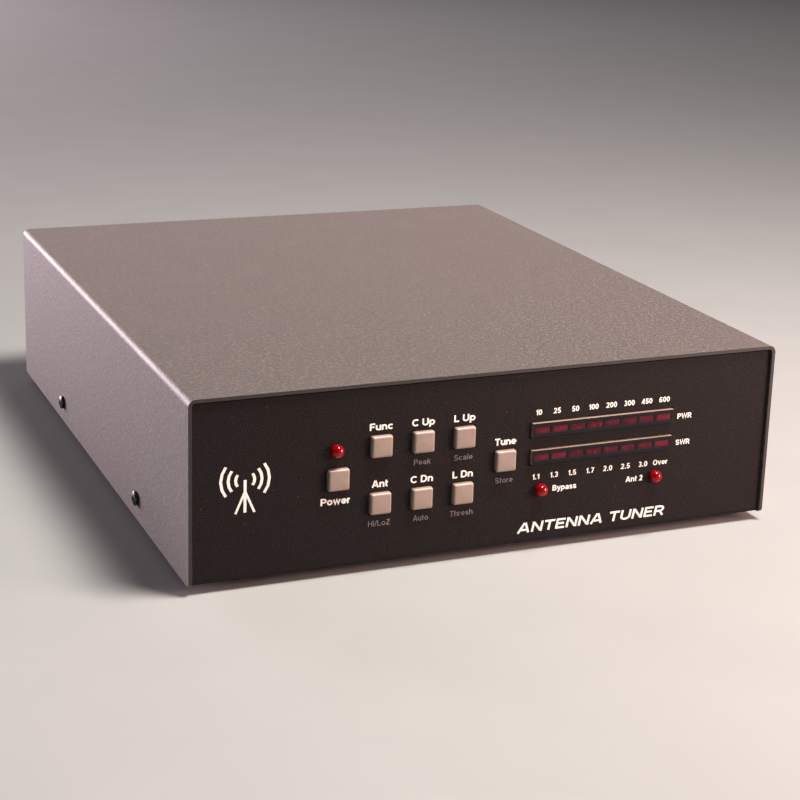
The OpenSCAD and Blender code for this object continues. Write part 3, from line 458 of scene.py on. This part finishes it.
def lamp(node):
    """A round lens with a domed end, a rim behind the panel and two square leads."""
    low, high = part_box(node)
    centre = (low + high) / 2
    rim_r = (high.x - low.x) / 2
    dome_r = 2.5 * MM
    rim_back = low.y + 8.7 * MM
    mesh = bmesh.new()
    profile = [(low.y + dome_r - dome_r * math.cos(math.radians(t)), dome_r * math.sin(math.radians(t)))
               for t in range(6, 91, 6)]
    bevel = 0.1 * MM
    rim_front = rim_back - 1.0 * MM
    profile += [(rim_front - bevel, dome_r), (rim_front, rim_r - bevel), (rim_front + bevel, rim_r),
                (rim_back, rim_r)]
    loft(mesh, [circle_ring(centre, y, radius) for y, radius in profile])
    lead_pitch = 2.54 * MM
    lead_half = 0.25 * MM
    lead = rounded_outline(lead_half, lead_half, 0.05 * MM, 1)
    for side in (-1, 1):
        lead_centre = centre + Vector((side * lead_pitch / 2, 0, 0))
        loft(mesh, [outline_ring(lead_centre, y, lead) for y in (rim_back - bevel, high.y)], material=1)
    name = node.replace("led", "lamp")
    piece = new_piece(name, mesh, ["lamp_lens", "zinc_steel"], replaces=[node])
    smooth_by_angle(piece, 50)


def bar_meter(kind):
    """A bar meter: a housing with a dark face and sides painted light as a highlight, eight windows, and a
    lamp in each window.
    """
    low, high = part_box(kind + "_bar_holder")
    lamps_low, lamps_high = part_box(kind + "_bar_leds")
    centre = (low + high) / 2
    segment_w = 6.2 * MM
    window_h = lamps_high.z - lamps_low.z
    pitch = (lamps_high.x - lamps_low.x - segment_w) / (SEGMENTS - 1)
    middles = [centre.x + (i - (SEGMENTS - 1) / 2) * pitch for i in range(SEGMENTS)]
    gap = 0.05 * MM
    xs = [low.x]
    for middle in middles:
        xs += [middle - segment_w / 2 - gap, middle + segment_w / 2 + gap]
    xs.append(high.x)
    zs = [low.z, centre.z - window_h / 2 - gap, centre.z + window_h / 2 + gap, high.z]
    window_floor = low.y + 2.5 * MM
    mesh = bmesh.new()
    front = [[mesh.verts.new((x, low.y, z)) for z in zs] for x in xs]
    back = [[mesh.verts.new((x, high.y, z)) for z in zs] for x in xs]
    for i in range(len(xs) - 1):
        for j in range(len(zs) - 1):
            quad = ((i, j), (i + 1, j), (i + 1, j + 1), (i, j + 1))
            mesh.faces.new([back[a][b] for a, b in reversed(quad)])
            if j == 1 and i % 2 == 1:
                rim = [front[a][b] for a, b in quad]
                floor = [mesh.verts.new((v.co.x, window_floor, v.co.z)) for v in rim]
                mesh.faces.new(floor)
                for k in range(4):
                    mesh.faces.new((rim[k], rim[(k + 1) % 4], floor[(k + 1) % 4], floor[k]))
            else:
                mesh.faces.new([front[a][b] for a, b in quad])
    last_x, last_z = len(xs) - 1, len(zs) - 1
    border = [(i, 0) for i in range(last_x + 1)] + [(last_x, j) for j in range(1, last_z + 1)]
    border += [(i, last_z) for i in reversed(range(last_x))] + [(0, j) for j in reversed(range(1, last_z))]
    # The sides get the light material, a painted highlight.
    for (a, b), (c, d) in zip(border, border[1:] + border[:1]):
        side = mesh.faces.new((front[a][b], front[c][d], back[c][d], back[a][b]))
        side.material_index = 1
    holder = new_piece(kind + "_bar_housing", mesh, ["bar_housing", "bar_sides_painted_highlight"],
                       replaces=[kind + "_bar_holder"])
    round_edges(holder, 0.14 * MM, angle=60)
    mesh = bmesh.new()
    crown = 0.12 * MM
    corner = 0.25 * MM
    steps = ((0.0, 0.62), (0.25, 0.9), (0.6, 1.0), (1.0, 1.0))
    for middle in middles:
        at = Vector((middle, 0, centre.z))
        rings = []
        for depth, size in steps:
            half_w = segment_w / 2 * (1 - (1 - size) * 0.4)
            outline = rounded_outline(half_w, window_h / 2 * size, corner, 3)
            rings.append(outline_ring(at, lamps_low.y + crown * depth, outline))
        outline = rounded_outline(segment_w / 2, window_h / 2, corner, 3)
        rings.append(outline_ring(at, lamps_high.y, outline))
        loft(mesh, rings)
    lamps = new_piece(kind + "_bar_lamps", mesh, ["bar_segments"],
                      replaces=[kind + "_bar_leds"])
    smooth_by_angle(lamps, 50)


# ---- Printed lettering ----

def bow(across, up, half_w, half_h, start, end):
    """Points of an elliptical arc round (across, up), between two angles in degrees."""
    steps = max(3, round(abs(end - start) / 18))
    turns = [math.radians(start + (end - start) * i / steps) for i in range(steps + 1)]
    return [(across + half_w * math.cos(t), up + half_h * math.sin(t)) for t in turns]


def stem(across, top=1.0, foot=0.0):
    return [(across, foot), (across, top)]


# Each character is its width and the middle lines of its strokes, for capitals of height 1
ROUND_TOP = bow(0.335, 0.41, 0.24, 0.24, 170, 0)
P_BOWL = [(0.09, 0.91), (0.42, 0.91)] + bow(0.42, 0.68, 0.24, 0.23, 90, -90) + [(0.09, 0.45)]
SMALL_RING = bow(0.36, 0.37, 0.27, 0.28, 0, 360)
GLYPHS = {
    "A": (0.92, [[(0.08, 0.0), (0.43, 1.0)], [(0.49, 1.0), (0.84, 0.0)], [(0.2, 0.3), (0.72, 0.3)]]),
    "B": (0.78, [stem(0.09),
                 [(0.09, 0.91), (0.42, 0.91)] + bow(0.42, 0.71, 0.2, 0.2, 90, -90) + [(0.09, 0.51)],
                 [(0.1, 0.51), (0.46, 0.51)] + bow(0.46, 0.3, 0.23, 0.21, 90, -90) + [(0.1, 0.09)]]),
    "C": (0.84, [bow(0.47, 0.5, 0.38, 0.41, 42, 318)]),
    "D": (0.80, [stem(0.09),
                 [(0.09, 0.91), (0.38, 0.91)] + bow(0.38, 0.5, 0.33, 0.41, 90, -90) + [(0.09, 0.09)]]),
    "E": (0.68, [stem(0.09), [(0.09, 0.91), (0.66, 0.91)], [(0.09, 0.51), (0.6, 0.51)],
                 [(0.09, 0.09), (0.68, 0.09)]]),
    "F": (0.65, [stem(0.09), [(0.09, 0.91), (0.65, 0.91)], [(0.09, 0.49), (0.57, 0.49)]]),
    "G": (0.88, [bow(0.47, 0.5, 0.38, 0.41, 45, 350) + [(0.84, 0.46), (0.5, 0.46)]]),
    "H": (0.80, [stem(0.09), stem(0.71), [(0.09, 0.51), (0.71, 0.51)]]),
    "I": (0.18, [stem(0.09)]),
    "L": (0.63, [stem(0.09), [(0.09, 0.09), (0.63, 0.09)]]),
    "M": (0.98, [stem(0.09), stem(0.89), [(0.13, 0.95), (0.49, 0.1), (0.85, 0.95)]]),
    "N": (0.82, [stem(0.09), stem(0.73), [(0.12, 0.94), (0.7, 0.06)]]),
    "O": (0.92, [bow(0.46, 0.5, 0.37, 0.41, 0, 360)]),
    "P": (0.74, [stem(0.09), P_BOWL]),
    "R": (0.80, [stem(0.09), P_BOWL, [(0.42, 0.47), (0.72, 0.0)]]),
    "S": (0.76, [bow(0.38, 0.705, 0.28, 0.205, 20, 250) + bow(0.38, 0.295, 0.3, 0.205, 70, -160)]),
    "T": (0.76, [[(0.0, 0.91), (0.76, 0.91)], stem(0.38, 0.91)]),
    "U": (0.80, [[(0.09, 1.0)] + bow(0.4, 0.36, 0.31, 0.27, 180, 360) + [(0.71, 1.0)]]),
    "W": (1.24, [[(0.07, 1.0), (0.34, 0.08), (0.62, 0.93), (0.9, 0.08), (1.17, 1.0)]]),
    "X": (0.86, [[(0.08, 1.0), (0.78, 0.0)], [(0.08, 0.0), (0.78, 1.0)]]),
    "Z": (0.72, [[(0.05, 0.91), (0.62, 0.91), (0.09, 0.09), (0.68, 0.09)]]),
    "a": (0.66, [bow(0.32, 0.44, 0.23, 0.21, 155, 0) + [(0.55, 0.0)],
                 [(0.55, 0.38), (0.3, 0.36)] + bow(0.29, 0.225, 0.2, 0.135, 90, 270)
                 + [(0.42, 0.11), (0.55, 0.24)]]),
    "c": (0.66, [bow(0.36, 0.37, 0.27, 0.28, 42, 318)]),
    "e": (0.70, [[(0.09, 0.36), (0.63, 0.36)] + bow(0.36, 0.37, 0.27, 0.28, 0, 318)]),
    "h": (0.66, [stem(0.09), ROUND_TOP + [(0.575, 0.0)]]),
    "i": (0.18, [stem(0.09, 0.74), stem(0.09, 1.0, 0.84)]),
    "k": (0.66, [stem(0.09), [(0.56, 0.72), (0.13, 0.29)], [(0.27, 0.42), (0.58, 0.0)]]),
    "l": (0.18, [stem(0.09)]),
    "n": (0.66, [stem(0.09, 0.74), ROUND_TOP + [(0.575, 0.0)]]),
    "o": (0.72, [SMALL_RING]),
    "p": (0.72, [stem(0.09, 0.74, -0.28), SMALL_RING]),
    "r": (0.42, [stem(0.09, 0.74), bow(0.35, 0.38, 0.26, 0.26, 165, 85)]),
    "s": (0.62, [bow(0.31, 0.505, 0.21, 0.145, 25, 255) + bow(0.31, 0.225, 0.22, 0.14, 75, -160)]),
    "t": (0.42, [[(0.17, 0.95)] + bow(0.29, 0.21, 0.12, 0.12, 180, 290), [(0.0, 0.65), (0.38, 0.65)]]),
    "u": (0.66, [[(0.09, 0.74)] + bow(0.33, 0.3, 0.24, 0.21, 180, 350), stem(0.575, 0.74)]),
    "v": (0.66, [[(0.07, 0.74), (0.33, 0.08), (0.59, 0.74)]]),
    "w": (0.98, [[(0.07, 0.74), (0.28, 0.08), (0.49, 0.68), (0.7, 0.08), (0.91, 0.74)]]),
    "y": (0.68, [[(0.07, 0.74), (0.34, 0.07)], [(0.61, 0.74), (0.34, -0.04), (0.23, -0.2), (0.05, -0.2)]]),
    "0": (0.64, [bow(0.32, 0.5, 0.235, 0.41, 0, 360)]),
    "1": (0.44, [stem(0.34), [(0.33, 0.84), (0.07, 0.7)]]),
    "2": (0.64, [bow(0.31, 0.69, 0.22, 0.22, 165, -35) + [(0.12, 0.11), (0.6, 0.09)]]),
    "3": (0.64, [bow(0.3, 0.71, 0.2, 0.2, 155, -80) + bow(0.3, 0.295, 0.235, 0.205, 80, -155)]),
    "4": (0.66, [[(0.63, 0.26), (0.09, 0.26), (0.42, 0.93)], stem(0.46)]),
    "5": (0.64, [[(0.57, 0.91), (0.17, 0.91), (0.12, 0.5)] + bow(0.31, 0.32, 0.24, 0.23, 130, -155)]),
    "6": (0.66, [bow(0.33, 0.3, 0.24, 0.21, 0, 360), bow(0.36, 0.5, 0.27, 0.41, 50, 195)]),
    "7": (0.64, [[(0.04, 0.91), (0.56, 0.91), (0.25, 0.0)]]),
    ".": (0.30, [stem(0.15, 0.18)]),
    "/": (0.36, [[(0.02, 0.0), (0.34, 1.0)]]),
    " ": (0.28, []),
}


class Print:
    """Collects the lettering of one panel as thin raised bands, then makes them into one piece."""

    lift = 0.04 * MM  # how far a letter's first stroke stands above the panel
    layer = 0.008 * MM  # how far each further stroke of a letter stands above the one before
    gap = 0.105  # space between letters, as a share of the capitals' height
    flat = 0.85  # height of a level stroke, as a share of an upright stroke's width

    def __init__(self, name, material, facing):
        self.name = name
        self.material = material
        self.facing = facing
        self.panel_y = panel_y if facing < 0 else back_y
        self.mesh = bmesh.new()

    def band(self, points, width, x, z, order=0):
        """A band along (across, up) points from (x, z), with square ends and mitred corners."""
        lift = self.lift + order * self.layer
        closed = (Vector(points[0]) - Vector(points[-1])).length < width * 0.01
        points = [Vector(p) for p in (points[:-1] if closed else points)]
        count = len(points)
        rings = []
        for i, point in enumerate(points):
            before = points[i - 1] if closed or i else point
            after = points[(i + 1) % count] if closed or i < count - 1 else point
            into = (point - before).normalized() if point != before else (after - point).normalized()
            out = (after - point).normalized() if point != after else into
            along = (into + out).normalized()
            mitre = Vector((-along.y, along.x * self.flat)) * width / 2 / max(0.45, along.dot(into))
            ring = []
            for side, y in ((1, lift), (-1, lift), (-1, 0.0), (1, 0.0)):
                across, up = point + side * mitre
                ring.append((x - self.facing * across, self.panel_y + self.facing * y, z + up))
            rings.append(ring)
        loops = loft(self.mesh, rings, not closed, not closed)
        if closed:
            join_loops(self.mesh, loops[-1], loops[0])

    def text(self, words, x, z, cap_height, weight, slant=0.0, width=None, align=0.5):
        """Letters with capitals cap_height tall, standing on z; align 0 starts at x, and 0.5 centres."""
        natural = sum(GLYPHS[c][0] + self.gap for c in words) - self.gap
        stretch = width / natural if width else cap_height
        start = -align * natural
        for c in words:
            advance, strokes = GLYPHS[c]
            for i, stroke in enumerate(strokes):
                points = [((start + across) * stretch + slant * up * cap_height, up * cap_height)
                          for across, up in stroke]
                self.band(points, weight * cap_height, x, z, i)
            start += advance + self.gap

    def finish(self):
        new_piece(self.name, self.mesh, [self.material]).data.shade_flat()


def front_lettering():
    """The panel's labels, each placed from the key, lamp or bar that it names; widths are in millimetres."""
    white = Print("front_labels_white", "white_ink", -1)
    grey = Print("front_labels_grey", "grey_ink", -1)
    above = 6.2 * MM
    main_cap = 2.75 * MM
    bold = 0.245
    for key, words, width in (
        ("function", "Func", 9.3), ("c_up", "C Up", 9.2), ("l_up", "L Up", 8.7), ("antenna", "Ant", 6.5),
        ("c_down", "C Dn", 9.1), ("l_down", "L Dn", 8.4), ("tune", "Tune", 8.9),
    ):
        at = box_middle("button_" + key)
        white.text(words, at.x, at.z + above, main_cap, bold, width=width * MM)
    at = box_middle("button_power")
    power_drop = 9.9 * MM
    white.text("Power", at.x - 0.7 * MM, at.z - power_drop, main_cap, bold, width=11.6 * MM)
    below = 9.25 * MM
    second_cap = 2.3 * MM
    light = 0.135
    for key, words, width in (
        ("c_up", "Peak", 6.9), ("l_up", "Scale", 7.7), ("antenna", "Hi/LoZ", 8.9), ("c_down", "Auto", 6.3),
        ("l_down", "Thresh", 9.6), ("tune", "Store", 7.4),
    ):
        at = box_middle("button_" + key)
        grey.text(words, at.x, at.z - below, second_cap, light, width=width * MM)
    number_pitch = 7.91 * MM
    number_cap = 2.2 * MM
    medium = 0.215
    power_bar = box_middle("power_bar_holder")
    swr_bar = box_middle("swr_bar_holder")
    numbers_x = power_bar.x - 0.6 * MM
    scales = (
        (power_bar.z + 5.9 * MM, ("10", "25", "50", "100", "200", "300", "450", "600")),
        (swr_bar.z - 9.3 * MM, ("1.1", "1.3", "1.5", "1.7", "2.0", "2.5", "3.0", "Over")),
    )
    for height, words in scales:
        for i, word in enumerate(words):
            x = numbers_x + (i - (SEGMENTS - 1) / 2) * number_pitch
            white.text(word, x, height, number_cap, medium)
    units_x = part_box("power_bar_holder")[1].x + 2.6 * MM
    units_drop = 1.8 * MM
    for word, bar in (("PWR", power_bar), ("SWR", swr_bar)):
        white.text(word, units_x, bar.z - units_drop, number_cap, medium, width=6.4 * MM, align=0.0)
    bypass = box_middle("led_bypass")
    antenna_2 = box_middle("led_antenna_2")
    lamp_cap = 2.3 * MM
    white.text("Bypass", bypass.x + 10.5 * MM, bypass.z - 1.2 * MM, lamp_cap, medium, width=10.4 * MM)
    white.text("Ant 2", antenna_2.x - 9.2 * MM, antenna_2.z - 1.4 * MM, lamp_cap, medium, width=7.6 * MM)
    title_cap = 4.1 * MM
    white.text("ANTENNA TUNER", power_bar.x - 2.6 * MM, cover_lo.z + 4.2 * MM, title_cap, 0.23, slant=0.2,
               width=65.5 * MM)
    pictogram(white, cover_lo.x + 21.5 * MM, cover_lo.z + 26.5 * MM)
    white.finish()
    grey.finish()


def pictogram(panel, x, z):
    """A mast on a small foot with waves on both sides: the usual sign for an antenna."""
    stroke = 1.1 * MM
    mast_h = 12.5 * MM
    half_arc = 38
    panel.band([(0, 0), (0, mast_h)], stroke, x, z)
    for side, order in ((-1, 1), (1, 2)):
        leg = [(side * 3.6 * MM, -0.2 * MM), (side * 0.2 * MM, mast_h * 0.62)]
        panel.band(leg, stroke * 0.8, x, z, order)
        middle = 0 if side > 0 else 180
        for radius in (3.6 * MM, 6.4 * MM, 9.2 * MM):
            wave = bow(0, mast_h, radius, radius, middle - half_arc, middle + half_arc)
            panel.band(wave, stroke, x, z)


# ---- Rear panel ----

def thread_rings(centre, y_start, y_end, crest_r, depth, pitch, count):
    """Rings of a right-handed screw thread along +Y, with the thread faded out at both ends."""
    length = y_end - y_start
    rings_per_turn = 8
    rows = int(length / pitch * rings_per_turn)
    run_out = 0.6 * pitch
    rings = []
    for row in range(rows + 1):
        y = y_start + length * row / rows
        fade = min(1.0, (y - y_start) / run_out, (y_end - y) / run_out)
        ring = []
        for i in range(count):
            turn = 2 * math.pi * i / count
            wave = abs(((y - y_start) / pitch - i / count) % 1.0 * 2 - 1)
            radius = crest_r - depth * (1 - fade * (1 - min(1.0, wave * 1.15)))
            ring.append(Vector((centre.x + radius * math.cos(turn), y, centre.z + radius * math.sin(turn))))
        rings.append(ring)
    return rings


def coaxial_shell(name):
    """A socket's shell: a square flange and a threaded barrel with four notches at its mouth."""
    node = "socket_shell_" + name
    low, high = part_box(node)
    centre = (low + high) / 2
    crest_r = 7.9375 * MM  # a 5/8 inch thread
    thread_depth = 0.55 * MM
    thread_pitch = 1.058 * MM
    bore_r = 6.1 * MM
    bore_depth = 8.0 * MM
    flange_t = 1.7 * MM
    count = 64
    half = (high.x - low.x) / 2
    mesh = bmesh.new()
    flange_bevel = 0.25 * MM
    flange_corner = 1.5 * MM
    outer = [(back_y, 0), (back_y + flange_t - flange_bevel, 0), (back_y + flange_t, flange_bevel)]
    rings = []
    for y, inset in outer:
        outline = rounded_outline(half - inset, half - inset, flange_corner, 11)
        rings.append(outline_ring(centre, y, outline))
    loft(mesh, rings)
    start_y = back_y + flange_t
    plain_r = crest_r - 0.2 * MM
    rings = [circle_ring(centre, y, radius, count) for y, radius in (
        (low.y, bore_r), (low.y, plain_r), (start_y - 0.4 * MM, plain_r), (start_y, crest_r - 0.6 * MM))]
    mouth = high.y
    rings += thread_rings(centre, start_y + 0.1 * MM, mouth - 0.5 * MM, crest_r, thread_depth, thread_pitch,
                          count)
    mouth_bevel = 0.25 * MM
    for y, radius in (
        (mouth - 0.45 * MM, crest_r - 0.62 * MM), (mouth, crest_r - 0.9 * MM), (mouth, bore_r + mouth_bevel),
        (mouth - mouth_bevel, bore_r), (mouth - bore_depth, bore_r),
    ):
        rings.append(circle_ring(centre, y, radius, count))
    loops = loft(mesh, rings, False, False)
    join_loops(mesh, loops[-1], loops[0])
    notch = 0.8 * MM
    notch_half = 1.3 * MM
    for loop in loops[-4:-1]:
        for vert in loop:
            across = vert.co.x - centre.x
            up = vert.co.z - centre.z
            if min(abs(across), abs(up)) < notch_half:
                vert.co.y = min(vert.co.y, mouth - notch)
    piece = new_piece("coaxial_shell_" + name, mesh, ["nickel"], replaces=[node])
    smooth_by_angle(piece, 40)


def ground_screw():
    """The ground stud with its thread cut along its whole length."""
    low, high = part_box("ground_stud")
    centre = (low + high) / 2
    radius = (high.x - low.x) / 2
    mesh = bmesh.new()
    depth = 0.42 * MM
    pitch = 0.8 * MM
    end = 0.4 * MM
    count = 40
    rings = [circle_ring(centre, low.y, radius - depth - end, count)]
    rings += thread_rings(centre, low.y + end, high.y - end, radius, depth, pitch, count)
    rings.append(circle_ring(centre, high.y, radius - depth - end, count))
    loft(mesh, rings)
    piece = new_piece("ground_screw", mesh, ["ground_brass"], replaces=["ground_stud"])
    smooth_by_angle(piece, 40)


def knurled_rings():
    """The small jacks' round nuts, with knurling and two spanner slots, and the inlet's inner nut."""
    mesh = bmesh.new()
    ridges = 36
    count = ridges * 4
    inner_r = 3.05 * MM
    outer_r = 4.6 * MM
    nut_t = 2.4 * MM
    bevel = 0.2 * MM
    slot_steps = range(7, 12)
    slot_depth = 0.7 * MM
    ridge_h = 0.12 * MM
    for node in ("radio_jack", "meter_jack"):
        centre = box_middle(node)
        rings = []
        for y, size in ((0.0, 0.35), (0.3, 0.0), (2.1, 0.0), (2.4, 0.35)):
            ring = []
            for i in range(count):
                turn = 2 * math.pi * i / count
                groove = ridge_h if i % 4 < 2 and size == 0 else 0.0
                radius = outer_r - size * MM - groove
                across, up = radius * math.cos(turn), radius * math.sin(turn)
                ring.append(Vector((centre.x + across, back_y + y * MM, centre.z + up)))
            rings.append(ring)
        rings.append(circle_ring(centre, back_y + nut_t, inner_r + bevel, count))
        rings.append(circle_ring(centre, back_y + nut_t - bevel, inner_r, count))
        rings.append(circle_ring(centre, back_y, inner_r, count))
        loops = loft(mesh, rings, False, False)
        join_loops(mesh, loops[-1], loops[0])
        for loop in loops[3:5]:
            for i, vert in enumerate(loop):
                if i % (count // 2) in slot_steps:
                    vert.co.y -= slot_depth
    centre = box_middle("dc_jack_pin")
    inner_y = back_y - sheet_t
    spanner_w = 14 * MM
    inlet_nut_t = 2.5 * MM
    hexagon_r = spanner_w / 2 / math.cos(math.radians(30))
    loft(mesh, [circle_ring(centre, y, hexagon_r, 6) for y in (inner_y - inlet_nut_t, inner_y)])
    piece = new_piece("jack_rings", mesh, ["nickel"], replaces=["jack_nuts"])
    smooth_by_angle(piece, 40)


def rear_lettering():
    """A label above each thing on the rear panel, as far above its middle as given in millimetres."""
    white = Print("rear_labels", "white_ink", 1)
    cap_height = 2.6 * MM
    weight = 0.17
    for node, rise, words in (
        ("socket_shell_transmitter", 17.0, "TX"), ("socket_shell_antenna_1", 17.0, "ANT 1"),
        ("socket_shell_antenna_2", 17.0, "ANT 2"), ("dc_jack", 9.5, "DC IN"), ("radio_jack", 9.5, "RADIO"),
        ("meter_jack", 9.5, "METER"), ("ground_stud", 9.0, "GND"),
    ):
        at = box_middle(node)
        white.text(words, at.x, at.z + rise * MM, cap_height, weight)
    white.finish()


# ---- Camera, lights and floor ----

def soft_light(name, place, size, watts, colour):
    """A rectangular light that faces the object's middle and isn't seen itself."""
    data = bpy.data.lights.new(name, "AREA")
    data.shape = "RECTANGLE"
    data.size, data.size_y = size
    data.energy = watts
    data.color = colour
    light = bpy.data.objects.new(name, data)
    bpy.context.scene.collection.objects.link(light)
    light.location = place
    light.visible_camera = False
    object_middle = Vector((0, 0, 0.04))
    towards = object_middle - Vector(place)
    light.rotation_euler = towards.to_track_quat("-Z", "Y").to_euler()


def studio():
    """A plain pale floor, a dim world and four soft lights."""
    mesh = bmesh.new()
    bmesh.ops.create_grid(mesh, x_segments=8, y_segments=8, size=4.0)
    data = bpy.data.meshes.new("floor")
    mesh.to_mesh(data)
    mesh.free()
    floor = bpy.data.objects.new("floor", data)
    bpy.context.scene.collection.objects.link(floor)
    look = Look("floor_matte", (0.30, 0.308, 0.315), 0.9, Specular_IOR_Level=0.1)
    look.tint(look.ramp(look.noise(60 * MM), 0.3, 0.8), (0.285, 0.293, 0.30))
    data.materials.append(look.material)

    world = bpy.data.worlds.new("studio")
    bpy.context.scene.world = world
    world.use_nodes = True
    background = world.node_tree.nodes["Background"]
    background.inputs["Color"].default_value = (0.9, 0.88, 0.92, 1)
    background.inputs["Strength"].default_value = 0.02
    soft_light("overhead", (0.2, -0.32, 0.9), (0.3, 0.3), 21, (1.0, 0.91, 0.82))
    soft_light("backdrop", (0.2, 2.0, 1.45), (3.0, 1.0), 12, (1.0, 0.97, 0.95))
    soft_light("right", (0.6, -0.52, 0.22), (0.3, 0.3), 8, (1.0, 0.64, 0.56))
    soft_light("left_rear", (-1.05, 2.3, 0.25), (1.3, 0.4), 95, (1.0, 0.80, 0.86))
    bpy.context.scene.view_settings.view_transform = "Standard"


def camera():
    """The photograph's viewpoint, solved from the case's straight edges."""
    data = bpy.data.cameras.new("camera")
    data.lens = 85.2
    data.sensor_width = 36
    data.shift_x = -0.0648
    data.shift_y = -0.0726
    data.clip_start = 0.01
    view = bpy.data.objects.new("camera", data)
    bpy.context.scene.collection.objects.link(view)
    view.location = (-0.2995, cover_lo.y - 0.6149, 0.2799)
    heading, down, roll = math.radians(24.353), math.radians(15.846), math.radians(2.144)
    turn = (Matrix.Rotation(-heading, 3, "Z") @ Matrix.Rotation(math.pi / 2 - down, 3, "X")
            @ Matrix.Rotation(roll, 3, "Z"))
    view.rotation_euler = turn.to_euler()
    bpy.context.scene.camera = view


dress_frame()
for key in KEYS:
    key_cap(key)
for node in LAMPS:
    lamp(node)
for kind in ("power", "swr"):
    bar_meter(kind)
front_lettering()
for name in SOCKETS:
    coaxial_shell(name)
ground_screw()
knurled_rings()
rear_lettering()
studio()
camera()
